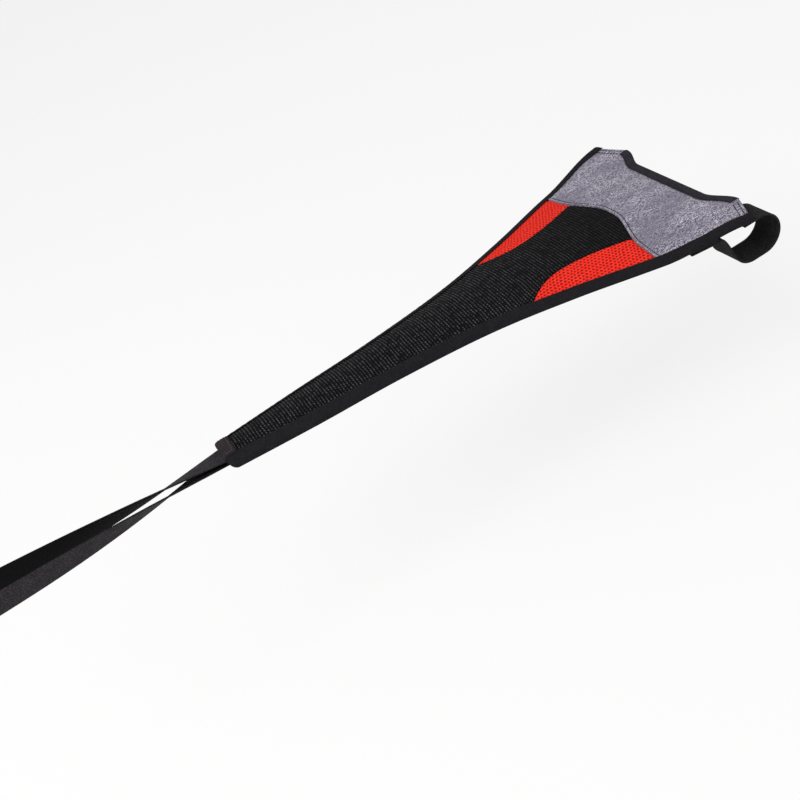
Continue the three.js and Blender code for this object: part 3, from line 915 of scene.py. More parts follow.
class RibbedTape(Cloth):
    """Ribbed woven tape or webbing: fine cords along or across it, with a dull face."""

    dark: int
    light: int
    roughness = 0.85
    specular = 0.1
    rib_across = 0.0
    rib_along = 1.4
    depth = 0.16
    inner_face = 0.0
    inner_ease = 1.0

    def lay(self) -> None:
        """Cords at their real spacing, broken up by the yarn's grain; from the inner face's place round the
        section on, the colour is painted shade in near black.
        """
        across, along = self.flat_mm()
        ribs: Feed = 0.5
        for place, pitch in ((across, self.rib_across), (along, self.rib_along)):
            if pitch:
                turn = self.add("Math", {0: place, 1: 2 * math.pi / pitch}, operation="MULTIPLY")
                wave = self.add("Math", {0: turn}, operation="SINE")
                ribs = self.add("Math", {0: wave, 1: 0.25, 2: ribs}, operation="MULTIPLY_ADD")
        yarn = self.grain((1.1, 1.1, 1.1), 3.0, 0.7)
        share: Feed = -0.72
        for part, weight in ((ribs, 0.5), (self.grain((9, 9, 9), 1.0), 0.25), (yarn, 1.3)):
            share = self.add("Math", {0: part, 1: weight, 2: share}, operation="MULTIPLY_ADD")
        colour = self.shade(share, 0.0, 1.0, srgb(self.dark), srgb(self.light))
        if self.inner_face:
            # Painted shade: a near-black colour on the inner face stands in for the shade that falls between
            # the strap's runs.
            pile = self.add("Mix", {0: yarn, 6: srgb(0x040404), 7: srgb(0x19181A)}, 2, data_type="RGBA")
            colour = self.shade(across, self.inner_face, self.inner_face + self.inner_ease, colour, pile)
        height = self.add("Math", {0: yarn, 1: 0.4, 2: ribs}, operation="MULTIPLY_ADD")
        self.dress(colour, height, self.depth, 0.8)


class BindingTape(RibbedTape):
    """Polyester binding tape, woven: near-black, with fine cords across it."""

    name = "black_binding_tape"
    dark = 0x121114
    light = 0x2F2D31


class Webbing(RibbedTape):
    """Polypropylene webbing, woven: charcoal with fine cords along it and small picks across."""

    name = "charcoal_webbing"
    dark = 0x0C0B0D
    light = 0x454245
    rib_across = 1.5
    rib_along = 1.1
    depth = 0.2


class PostWebbing(Webbing):
    """The post strap's webbing: woven charcoal outside, with painted shade in near black on its inner face.
    """

    name = "charcoal_pile_backed_webbing"
    dark = 0x1A181A
    light = 0x545154
    # Place round the section where the painted shade of the inner face starts.
    inner_face = 19.2


class PatchWebbing(RibbedTape):
    """Short piece of brownish charcoal webbing at the tail, folded over the edge."""

    name = "brown_charcoal_patch"
    dark = 0x1E1B1C
    light = 0x474041
    rib_across = 1.2


class CollarTape(RibbedTape):
    """Wider charcoal knitted binding of the neck, a little lighter than the side tape."""

    name = "charcoal_collar_tape"
    dark = 0x19181D
    light = 0x4C4952


class Fuzz(Cloth):
    """Nylon loop pile and hooks: a dark fuzzy pad."""

    name = "dark_nylon_loop_pile"
    roughness = 1.0
    sheen = 0.05
    specular = 0.1

    def lay(self) -> None:
        """Pile drawn at 0.8 mm, twice its real grain."""
        pile = self.grain((0.8, 0.8, 0.8), 3.0, 0.7)
        self.dress(self.shade(pile, 0.3, 0.7, srgb(0x141315), srgb(0x343236)), pile, 0.5)


class Thread(Cloth):
    """Twisted polyester sewing thread."""

    roughness = 0.7
    specular = 0.3

    def __init__(self, name: str, colour: int) -> None:
        """Name the thread and give its colour.

        Args:
            name: The material's name.
            colour: sRGB hex value.
        """
        self.name = name
        self.colour = colour
        super().__init__()

    def lay(self) -> None:
        """Two shades of the colour that alternate along the twist."""
        deep = tuple(c * 0.6 for c in srgb(self.colour)[:3]) + (1.0,)
        self.dress(self.shade(self.grain((0.5, 0.5, 0.5), 1.0), 0.35, 0.65, deep, srgb(self.colour)))


def columns_through(places: tuple[float, ...], counts: tuple[int, ...]) -> Array:
    """Column places from -1 to 1 that pass through the given places on both halves.

    Args:
        places: Places on one half, the last one being 1.
        counts: Steps up to each of them.

    Returns:
        The places of the columns.
    """
    marks = (0.0, *places)
    half = np.concatenate([np.linspace(a, b, n, endpoint=False) for a, b, n in zip(marks, marks[1:], counts)])
    return np.concatenate([[-1.0], -half[:0:-1], half, [1.0]])


@dataclass
class FrontPanel:
    """Grey knit front with both arms, hemmed at the arms' ends and lapped over the seam behind.

    The pucker's turn is in radians to a millimetre along the seam.
    """

    drape: Drape = DRAPE
    rows: int = 120
    stride: int = 4
    inset: float = 1.2
    seam_lap: float = 0.7
    hem_width: float = 3.4
    hem_rise: float = 0.45
    arm_hem_lines: tuple[float, float] = (3.4, 7.6)
    arm_hem_rise: float = 0.5
    arm_groove: float = 0.9
    groove_width: float = 2.0
    groove_depth: float = 0.5
    fold_half: float = 0.6
    arm_fold_end: float = 0.8
    arm_ease: tuple[float, float] = (-1, 2)
    pucker_past: float = 2
    pucker: float = 0.12
    pucker_turn: float = 1.3
    pucker_width: float = 5
    seam_round: float = 1.3
    end_round: float = 2.0
    arm_stitch_from: float = 3
    arm_stitch_end: float = 0.5
    thread_lift: float = 0.1
    cloth: HeatherJersey = field(default_factory=HeatherJersey)
    thread: Thread = field(default_factory=lambda: Thread("dark_grey_thread", 0x1C1A20))

    def plan(self) -> tuple[Array, Array]:
        """Plan of the panel: a Coons patch between its front, its rear and its two side lines.

        Returns:
            Distances behind and across, rows by columns.
        """
        d = self.drape
        rear = d.seam_behind + d.seam_sweep
        half_front = d.half_width(d.tip_behind) - self.inset
        half_rear = d.half_width(rear) - self.inset
        t = columns_through((d.neck_flat_half / half_front, d.arm_root_half / half_front, 1.0), (44, 40, 36))
        s = np.linspace(0, 1, self.rows + 1)[:, None]
        front = self.front_line(t * half_front)
        back = d.seam_line(t * half_rear) + self.seam_lap
        side_behind = lerp(d.tip_behind, rear, s)
        side_half = d.half_width(side_behind) - self.inset
        behind = lerp(front, back, s) + side_behind - lerp(front[-1], back[-1], s)
        across = lerp(t * half_front, t * half_rear, s) + t * (side_half - lerp(half_front, half_rear, s))
        return behind, across

    def front_line(self, across: Array) -> Array:
        """Front of the sheet: inside the neck's binding, and out to the edge on the arms.

        Args:
            across: Distances from the middle line.

        Returns:
            Distances behind the bar.
        """
        d = self.drape
        past = smooth(np.abs(across), d.arm_root_half, d.arm_root_half + d.arm_root_fade)
        return d.front_edge(across) + self.inset * (1 - past)

    def level(self, behind: Array, across: Array) -> Array:
        """Top of the panel: folded hems with sewn grooves along the seam and the arms' ends.

        Args:
            behind: Distances behind the bar.
            across: Distances from the middle line.

        Returns:
            Levels above the lining's underside.
        """
        d = self.drape
        out = np.abs(across)
        to_seam = d.seam_line(across) + self.seam_lap - behind
        to_end = behind - d.front_edge(across)
        on_arm = smooth(out - d.arm_root_half, *self.arm_ease)
        level = np.full(np.shape(behind), d.face_top)
        hem, half = self.hem_width, self.fold_half
        level += self.hem_rise * (1 - smooth(to_seam, hem - half, hem + half))
        level -= self.groove_depth * ridge(to_seam - hem, self.groove_width)
        past_hem = ridge(to_seam - hem - self.pucker_past, self.pucker_width)
        level += self.pucker * np.sin(across * self.pucker_turn) * past_hem
        last = self.arm_hem_lines[1]
        level += self.arm_hem_rise * on_arm * (1 - smooth(to_end, last - half, last + self.arm_fold_end))
        for line in self.arm_hem_lines:
            level -= self.arm_groove * on_arm * ridge(to_end - line, self.groove_width)
        level -= self.seam_round * rim(to_seam, self.seam_round)
        return level - self.end_round * on_arm * rim(to_end, self.end_round)

    def build(self) -> bpy.types.Object:
        """Make the panel and its stitching.

        Returns:
            The panel.
        """
        d = self.drape
        behind, across = self.plan()
        cloth = d.panel(behind, across, self.level(behind, across), self.stride)
        panel = cloth.piece("front_cloth", self.cloth.material, Slot.JERSEY, ("front_panel",))
        seam = np.linspace(-1, 1, 240) * (d.half_width(d.seam_behind + d.seam_sweep) - d.tape_width)
        lines = [self.on_top(d.seam_line(seam) + self.seam_lap - self.hem_width, seam)]
        first = d.arm_root_half + self.arm_stitch_from
        last = d.stations[0][1] - d.tape_width - self.arm_stitch_end
        for side in Side:
            out = side.value * np.linspace(first, last, 40)
            lines += [self.on_top(d.front_edge(out) + line, out) for line in self.arm_hem_lines]
        sewing = Stitching(pitch=3.0, length=2.75, radius=0.42).rows(lines)
        threads = sewing.piece("front_topstitching", self.thread.material, Slot.JERSEY)
        return panel

    def on_top(self, behind: Array, across: Array) -> Array:
        """A line of places on the panel's top, for stitches that lie in it."""
        return self.drape.place(behind, across, self.level(behind, across) + self.thread_lift)


@dataclass
class CentrePanel:
    """Black spacer mesh from the seam back to the tail, with a rib across it under each row of nubs."""

    drape: Drape = DRAPE
    rib_depth: float = 0.3
    step_behind: float = 0.45
    columns: int = 96
    stride: int = 6
    inset: float = 1.2
    insert_lap: float = 0.25
    tip_ease: tuple[float, float] = (-0.5, 1.5)
    seam_gap: float = 0.2
    seam_tuck: float = 1.1
    tuck_from: float = 0.8
    tuck_to: float = 3.2
    edge_fall: float = 0.7
    edge_round: float = 1.2
    cloth: SpacerMesh = field(default_factory=SpacerMesh)

    def half(self, behind: Number) -> Number:
        """Half width: just over the inserts' inner edges, then out to the side bindings.

        Args:
            behind: Distances behind the bar.

        Returns:
            Half widths.
        """
        d = self.drape
        beside = d.insert_inner(behind) + self.insert_lap
        past = smooth(behind - d.insert_tip_behind, *self.tip_ease)
        return lerp(beside, d.half_width(behind) - self.inset, past)

    def build(self) -> bpy.types.Object:
        """Make the panel.

        Its rows follow the seam at the front and straighten towards the inserts' waist.

        Returns:
            The panel.
        """
        d = self.drape
        start = d.seam_line(d.insert_front_half) + self.seam_gap
        end = d.tail_behind - self.inset
        rows = int((end - start) / self.step_behind / self.stride) * self.stride
        line = np.linspace(start, end, rows + 1)[:, None]
        t = np.linspace(-1, 1, self.columns + 1)[None, :]
        across = t * self.half(line)
        bow = d.seam_line(t * self.half(start)) - d.seam_line(d.insert_front_half)
        behind = line + bow * (1 - smooth(line, start, d.insert_waist_behind))
        mesh = d.panel(behind, across, self.level(behind, across), self.stride)
        panel = mesh.piece("centre_mesh", self.cloth.material, Slot.SPACER, ("centre_panel",))
        return panel

    def level(self, behind: Array, across: Array) -> Array:
        """Top of the mesh: ribs as a squared cosine, and edges that fall to the seam and the inserts.

        Args:
            behind: Distances behind the bar.
            across: Distances from the middle line.

        Returns:
            Levels above the lining's underside.
        """
        d = self.drape
        _, v = SPACER_HOLES.cell(behind, across)
        level = d.face_top - self.rib_depth * np.cos(math.pi * v) ** 2
        level -= self.seam_tuck * (1 - smooth(behind - d.seam_line(across), self.tuck_from, self.tuck_to))
        inside = self.half(behind) - np.abs(across)
        fall = self.edge_fall * rim(inside, self.edge_round)
        return level - np.where(behind < d.insert_tip_behind, fall, 0.0)


@dataclass
class MeshInsert:
    """Red mesh insert between the black panel and one side binding."""

    side: Side
    cloth: RedMesh
    drape: Drape = DRAPE
    rows: int = 192
    columns: int = 72
    stride: int = 6
    eyelet_depth: float = 0.5
    below_face: float = 0.15
    tuck: float = 0.8
    seam_tuck: tuple[float, float] = (0.8, 3.0)
    inner_tuck: tuple[float, float] = (0.2, 1.6)
    seam_share: float = 0.3
    seam_gap: float = 0.2
    panel_lap: float = 0.1
    tip_past: float = 1.5
    inset: float = 1.2

    def build(self) -> bpy.types.Object:
        """Make the insert: a ruled plan from its inner edge to the side binding.

        Returns:
            The insert.
        """
        d = self.drape
        s = np.linspace(0, 1, self.rows + 1)[:, None]
        t = np.linspace(0, 1, self.columns + 1)[None, :]
        inner_start = d.seam_line(d.insert_front_half)
        outer_start = d.seam_behind + d.seam_sweep
        end = d.insert_tip_behind
        inner_behind, outer_behind = lerp(inner_start, end, s), lerp(outer_start, end + self.tip_past, s)
        inner = d.insert_inner(inner_behind) - self.panel_lap
        across = lerp(inner, d.half_width(outer_behind) - self.inset, t)
        seam = (d.seam_line(across) - lerp(inner_start, outer_start, t)) * (1 - smooth(s, 0, self.seam_share))
        behind = lerp(inner_behind, outer_behind, t) + seam + self.seam_gap
        level = d.face_top - self.below_face - self.eyelet_depth * RED_HOLES.mask(behind, across)
        level = level - self.tuck * (1 - smooth(behind - d.seam_line(across), *self.seam_tuck))
        level = level - self.tuck * (1 - smooth(across - d.insert_inner(behind), *self.inner_tuck))
        mesh = d.panel(behind, across * self.side.value, level, self.stride)
        node = f"{self.side.word}_insert"
        insert = mesh.piece(f"{self.side.word}_red_mesh", self.cloth.material, Slot.RED_MESH, (node,))
        return insert


@dataclass
class LiningSheet:
    """Water-repellent lining under all the face panels."""

    drape: Drape = DRAPE
    rows: int = 220
    columns: int = 72
    inset: float = 1.2
    straight_behind: float = 60
    cloth: Lining = field(default_factory=Lining)

    def build(self) -> bpy.types.Object:
        """Make the lining: rows follow the front edge, straighten behind it and run on to the tail.

        Returns:
            The lining.
        """
        d = self.drape
        end = d.tail_behind - self.inset
        line = np.linspace(d.tip_behind, end, self.rows + 1)[:, None]
        across = np.linspace(-1, 1, self.columns + 1)[None, :] * (d.half_width(line) - self.inset)
        first = np.linspace(-1, 1, self.columns + 1)[None, :] * (d.half_width(d.tip_behind) - self.inset)
        past = smooth(np.abs(first), d.arm_root_half, d.arm_root_half + d.arm_root_fade)
        front = d.front_edge(first) + self.inset * (1 - past) - d.tip_behind
        behind = line + front * (1 - smooth(line, d.tip_behind, self.straight_behind))
        surface = slab(d.place(behind, across, d.lining_top), d.place(behind, across, 0.0), 1)
        return surface.piece("lining_cloth", self.cloth.material, Slot.LINING, ("backing_lining",))


def tape_profile(drape: Drape, width: float, bend: float = 2.6) -> tuple[Array, Array]:
    """Section of a tape folded over an edge: an outer line over, round and under, and the same back inside.

    The bend is half an ellipse, and each leaf ends in a half round.

    Args:
        drape: The cloth, for its levels.
        width: Width of each leaf.
        bend: Depth of the bend.

    Returns:
        The section as (inset, level) pairs, and the share of each that is top outer face.
    """
    thick = drape.tape_thickness
    middle = (drape.tape_top + drape.tape_bottom) / 2
    half = (drape.tape_top - drape.tape_bottom) / 2
    mirror, shift = np.array([1, -1]), np.array([0, 2 * middle])
    leaf = np.linspace(width - thick / 2, bend, 13)
    turn = np.radians(np.linspace(90, -90, 15)[1:-1])
    lines = []
    for inside in (0.0, thick):
        rise = half - inside
        over = np.stack([leaf, np.full(leaf.shape, middle + rise)], axis=-1)
        around = np.stack([bend - (bend - inside) * np.cos(turn), middle + rise * np.sin(turn)], axis=-1)
        lines.append(np.vstack([over, around, over[::-1] * mirror + shift]))
    end = np.array([[width, middle - half + thick / 2]])
    section = np.vstack([lines[0], end, lines[1][::-1], end * mirror + shift])
    top = np.zeros(len(section))
    top[: len(leaf)] = 1.0
    return section, top


@dataclass
class Bindings:
    """Tape folded over the sides and over the neck, each with a row of stitches near its inner edge."""

    drape: Drape = DRAPE
    arm_cut_length: float = 25
    side_width: float = 9.2
    collar_gap: float = 0.1
    stitch_inset: float = 1.5
    stitch_sink: float = 0.2
    valley_depth: float = 0.28
    valley_width: float = 2.6
    pucker: float = 0.16
    pucker_waves: tuple[float, float] = (5.6, 9.1)
    slow_share: float = 0.6
    slow_phase: float = 1
    pucker_inset: float = 6.5
    pucker_width: float = 8
    crown: float = 0.22
    side_tape: BindingTape = field(default_factory=BindingTape)
    collar_tape: CollarTape = field(default_factory=CollarTape)
    thread: Thread = field(default_factory=lambda: Thread("black_binding_thread", 0x201E23))

    def relief(self, section: Array, top: Array, along: Array) -> Array:
        """Relief of the top leaf: half a sine across, less a valley under the thread, plus two waves along.

        Args:
            section: The tape's section.
            top: The share of the section that is top outer face.
            along: Running length of each ring.

        Returns:
            Added levels, rings by section.
        """
        inset = section[:, 0]
        width = inset.max()
        quick, slow = (along * 2 * math.pi / length for length in self.pucker_waves)
        wave = np.sin(quick) + self.slow_share * np.sin(slow + self.slow_phase)
        crown = self.crown * np.sin(math.pi * np.clip(inset / width, 0, 1))
        valley = self.valley_depth * ridge(inset - (width - self.stitch_inset), self.valley_width)
        share = ridge(inset - self.pucker_inset, self.pucker_width) * top
        return (crown - valley) * top + self.pucker * wave[:, None] * share

    def folded(
        self, name: str, node: str, tape: RibbedTape, width: float, points: Callable[[Number, Number], Array]
    ) -> tuple[bpy.types.Object, Array]:
        """Make a tape that is folded over an edge.

        Args:
            name: The piece's name.
            node: CAD node that it stands for.
            tape: Its finish.
            width: Width of each leaf.
            points: Gives the places at insets from the edge and at levels, ring by ring.

        Returns:
            The tape and the line of its stitches.
        """
        section, top = tape_profile(self.drape, width)
        along = lengths(points(0.0, 0.0)[:, 0])
        rings = points(section[None, :, 0], section[None, :, 1] + self.relief(section, top, along))
        thing = sweep(rings, lengths(section), along).piece(name, tape.material, Slot.TAPE, (node,))
        at_thread = self.drape.tape_top + self.crown * 0.5 - self.stitch_sink
        return thing, points(width - self.stitch_inset, at_thread)[:, 0]

    def side(self, side: Side) -> tuple[bpy.types.Object, Array]:
        """Side binding from the arm's slanting end to the tail, round its corner.

        Args:
            side: Which side.

        Returns:
            The binding and the line of its stitches, which stops at the corner.
        """
        d = self.drape
        corner = d.tail_behind - d.tail_corner
        bend = corner + d.tail_corner * np.sin(np.linspace(0, math.pi / 2, 14))
        behind = np.concatenate([np.linspace(d.tip_behind, corner, 300)[:-1], bend])[:, None]
        root = d.neck_behind - d.neck_depth
        slant = (root - d.tip_behind) / (d.stations[0][1] - d.arm_root_half)
        lean = slant * (1 - smooth(behind, d.tip_behind, d.tip_behind + self.arm_cut_length))

        def points(inset: Number, level: Number) -> Array:
            """Places on the tape at insets from the edge, ring by ring."""
            return d.place(behind + lean * inset, side.value * (d.half_width(behind) - inset), level)

        names = f"{side.word}_side_tape", f"{side.word}_edge_binding"
        thing, line = self.folded(*names, self.side_tape, self.side_width, points)
        return thing, line[: -len(bend) - 2]

    def collar(self) -> tuple[bpy.types.Object, Array]:
        """Binding of the neck, from one arm's root to the other's.

        Returns:
            The binding and the line of its stitches.
        """
        d = self.drape
        across = np.linspace(-1, 1, 220)[:, None] * (d.arm_root_half - self.collar_gap)
        edge = d.front_edge(across)

        def points(inset: Number, level: Number) -> Array:
            """Places on the tape at insets behind the neck's edge."""
            return d.place(edge + inset, across, level)

        return self.folded("collar_tape", "collar_binding", self.collar_tape, d.tape_width, points)

    def build(self) -> list[bpy.types.Object]:
        """Make the three bindings and their stitches.

        Returns:
            The pieces.
        """
        made = [self.side(Side.LEFT), self.side(Side.RIGHT), self.collar()]
        sewing = Stitching(pitch=3.1, length=2.5, radius=0.22).rows([line for _, line in made])
        threads = sewing.piece("binding_stitches", self.thread.material, Slot.TAPE)
        return [thing for thing, _ in made] + [threads]


@dataclass
class TailPatch:
    """Patch of webbing over the tail's end: it lies on the bindings and is folded down over their ends."""

    drape: Drape = DRAPE
    width: float = 24
    length: float = 10
    fold: float = 0.7
    gap: float = 0.3
    bend: float = 2.4
    rise: float = 0.3
    side_fall: float = 0.5
    side_round: float = 1.8
    puff_from: tuple[float, float] = (0, 2)
    puff_to: tuple[float, float] = (6.5, 9.5)
    stitch_inset: float = 1.8
    stitch_start: float = 1.5
    thread_lift: float = 0.12
    tape: PatchWebbing = field(default_factory=PatchWebbing)
    thread: Thread = field(default_factory=lambda: Thread("brown_patch_thread", 0x5A5250))

    def outer(self, inside: float) -> Array:
        """Line over the top leaf, round a quarter circle and down the end, at a depth inside the face.

        Args:
            inside: Depth below the outer face.

        Returns:
            Rows of (distance in from the tail's end, level).
        """
        thick = self.drape.tape_thickness
        top = self.drape.tape_top + self.gap + thick - inside
        front = -self.gap - thick + inside
        turn = np.linspace(0, math.pi / 2, 9)
        radius = self.bend - inside
        leaf = np.stack([np.linspace(self.length, front + radius, 14)[:-1], np.full(13, top)], axis=-1)
        inset, drop = radius * (1 - np.sin(turn)), radius * (1 - np.cos(turn))
        round_end = np.stack([front + inset, top - drop], axis=-1)
        down = np.stack([np.full(6, front), np.linspace(top - radius, -self.fold, 7)[1:]], axis=-1)
        return np.vstack([leaf, round_end, down])

    def build(self) -> list[bpy.types.Object]:
        """Make the patch and its stitches, a row along its inner edge and down both sides.

        Returns:
            The two pieces.
        """
        d = self.drape
        section = np.vstack([self.outer(0.0), self.outer(d.tape_thickness)[::-1]])
        inset, level = section[None, :, 0], section[None, :, 1]
        t = np.linspace(-1, 1, 61)[:, None]
        across = t * self.width / 2
        puff = self.rise * (1 - t**8) * smooth(inset, *self.puff_from) * (1 - smooth(inset, *self.puff_to))
        outer = np.arange(len(section)) < len(section) // 2
        fall = self.side_fall * rim(self.width / 2 - np.abs(across), self.side_round) * outer
        rings = d.place(d.tail_behind - inset, across, level + (puff - fall))
        body = sweep(rings, lengths(section), across[:, 0])
        patch = body.piece("tail_end_patch", self.tape.material, Slot.PATCH, ("tail_patch",))
        near, far = self.stitch_start, self.length - self.stitch_inset
        half = self.width / 2 - self.stitch_inset
        corners = np.array([[near, -half], [far, -half], [far, half], [near, half]])
        run = np.linspace(0, 3, 91)
        inset, beside = (np.interp(run, np.arange(4), corners[:, k]) for k in range(2))
        top = d.tape_top + self.gap + d.tape_thickness + self.thread_lift
        line = d.place(d.tail_behind - inset, beside, top)
        sewing = Stitching(pitch=2.4, length=2.0, radius=0.25).rows([line])
        return [patch, sewing.piece("tail_patch_stitches", self.thread.material, Slot.PATCH)]


@dataclass(frozen=True)
class Pad:
    """A patch of hooks or loops: its place, its size and its rounded rim."""

    start: float
    length: float
    width: float
    middle: float = 0.0
    thickness: float = 0.8
    rim_round: float = 0.8
    rim_fall: float = 0.3
    columns: int = 29

    def plan(self) -> tuple[Array, Array, Array]:
        """Plan of the patch, with the thickness that falls at its rim by a quarter round.

        Returns:
            Distances behind and across, and the thickness, rows by columns.
        """
        rows = np.linspace(self.start, self.start + self.length, 25)
        columns = self.middle + np.linspace(-0.5, 0.5, self.columns) * self.width
        behind, across = np.meshgrid(rows, columns, indexing="ij")
        edge = np.minimum(behind - self.start, self.start + self.length - behind)
        edge = np.minimum(edge, self.width / 2 - np.abs(across - self.middle))
        return behind, across, self.thickness - self.rim_fall * rim(edge, self.rim_round)


@dataclass
class BarStrap:
    """Hook and loop strap of one arm: forward over the bar by its reach, down and back up under the arm."""

    side: Side
    reach: float
    webbing: Webbing
    fuzz: Fuzz
    drape: Drape = DRAPE
    bar_radius: float = 15.9
    clearance: float = 0.3
    width: float = 28
    thickness: float = 1.5
    middle: float = 90
    sewn_length: float = 4
    lean: float = 0.36
    lean_behind: float = 12
    return_angle: float = 250
    swing: float = 6
    level: float = -4.25
    flat_behind: float = 24
    end_behind: float = 48
    woven_edge: float = 0.12
    hang_from: float = 14
    hang_to: float = 26
    loop_pad: Pad = Pad(26, 24, 28, 90)
    loop_level: float = -2.1
    hook_pad: Pad = Pad(28, 20, 26, 90)
    hook_level: float = -3.2

    def crown(self, behind: Number) -> Number:
        """Height of the lining over the middle line, without its folds."""
        d = self.drape
        return d.lining_rest + d.crown_rise * (1 - (1 - np.clip(behind / d.crown_length, 0, 1)) ** 2)

    def under_arm(self, x: Array, across: Array, z: Array) -> Array:
        """Place of what lies under the arm: it leans inwards with the arm and follows the cloth's hang.

        Args:
            x: Places along +X.
            across: Distances from the middle line at the bar.
            z: Heights over the middle line.

        Returns:
            Points in millimetres.
        """
        behind = np.clip(-x, 0, None)
        leant = across - self.lean * np.clip(behind - self.lean_behind, 0, None)
        follow = smooth(behind, self.hang_from, self.hang_to)
        hang = self.drape.height(behind, leant) - self.crown(behind)
        return np.stack(np.broadcast_arrays(x, self.side.value * leant, z + hang * follow), axis=-1)

    def path(self) -> Array:
        """Side view of the strap as (x, z).

        A line over the bar, a half circle in front of it, a line back under it, an arc up behind it,
        a bend, and a line under the arm.

        Returns:
            Points of the strap's middle.
        """
        radius = self.bar_radius + self.clearance + self.thickness / 2
        start = np.stack([np.linspace(-self.sewn_length, self.reach, 9)[:-1], np.full(8, radius)], axis=-1)
        front_turn = np.radians(np.linspace(90, -90, 70))
        rear_turn = np.radians(np.linspace(-90, 90 - self.return_angle, 30))
        front = radius * np.stack([np.cos(front_turn), np.sin(front_turn)], axis=-1) + [self.reach, 0]
        under = np.stack([np.linspace(self.reach, 0, 7)[1:-1], np.full(5, -radius)], axis=-1)
        rear = radius * np.stack([np.cos(rear_turn), np.sin(rear_turn)], axis=-1)
        arc = np.vstack([front, under, rear])
        flat_height = self.crown(self.flat_behind) + self.level
        first, last = arc[-1], np.array([-self.flat_behind, flat_height])
        middle = np.array([first[0] - self.swing, flat_height])
        k = np.linspace(0, 1, 30)[1:, None]
        bend = (1 - k) ** 2 * first + 2 * k * (1 - k) * middle + k**2 * last
        behind = np.linspace(self.flat_behind, self.end_behind, 20)[1:]
        return np.vstack([start, arc, bend, np.stack([-behind, self.crown(behind) + self.level], axis=-1)])

    def strap(self) -> bpy.types.Object:
        """Make the strap, as a section of webbing carried along its path.

        Returns:
            The strap.
        """
        path = self.path()
        along = unit(np.gradient(path, axis=0))
        normal = np.stack([-along[:, 1], along[:, 0]], axis=-1)
        section = strap_section(self.width, self.thickness, self.woven_edge)
        x = path[:, :1] + normal[:, :1] * section[None, :, 1]
        z = path[:, 1:] + normal[:, 1:] * section[None, :, 1]
        rings = self.under_arm(x, self.middle + section[None, :, 0] + 0 * x, z)
        body = sweep(rings, lengths(section), lengths(path))
        name = f"{self.side.word}_bar_webbing"
        return body.piece(name, self.webbing.material, Slot.WEBBING, (f"{self.side.word}_bar_strap",))

    def patch(self, kind: str, pad: Pad, level: float) -> bpy.types.Object:
        """Make a patch of hooks or loops under the arm.

        Args:
            kind: "loop" or "hook".
            pad: Its place and size.
            level: Level of its underside, from the lining's.

        Returns:
            The patch.
        """
        behind, across, thickness = pad.plan()
        under = self.crown(behind) + level
        top, bottom = (self.under_arm(-behind, across, height) for height in (under + thickness, under))
        name, node = f"{self.side.word}_{kind}_pile", f"{self.side.word}_{kind}_patch"
        return slab(top, bottom, 1).piece(name, self.fuzz.material, Slot.HOOK_AND_LOOP, (node,))

    def build(self) -> list[bpy.types.Object]:
        """Make the strap and its two patches.

        Returns:
            The pieces, the strap first.
        """
        pads = {"loop": (self.loop_pad, self.loop_level), "hook": (self.hook_pad, self.hook_level)}
        return [self.strap()] + [self.patch(kind, *pad) for kind, pad in pads.items()]


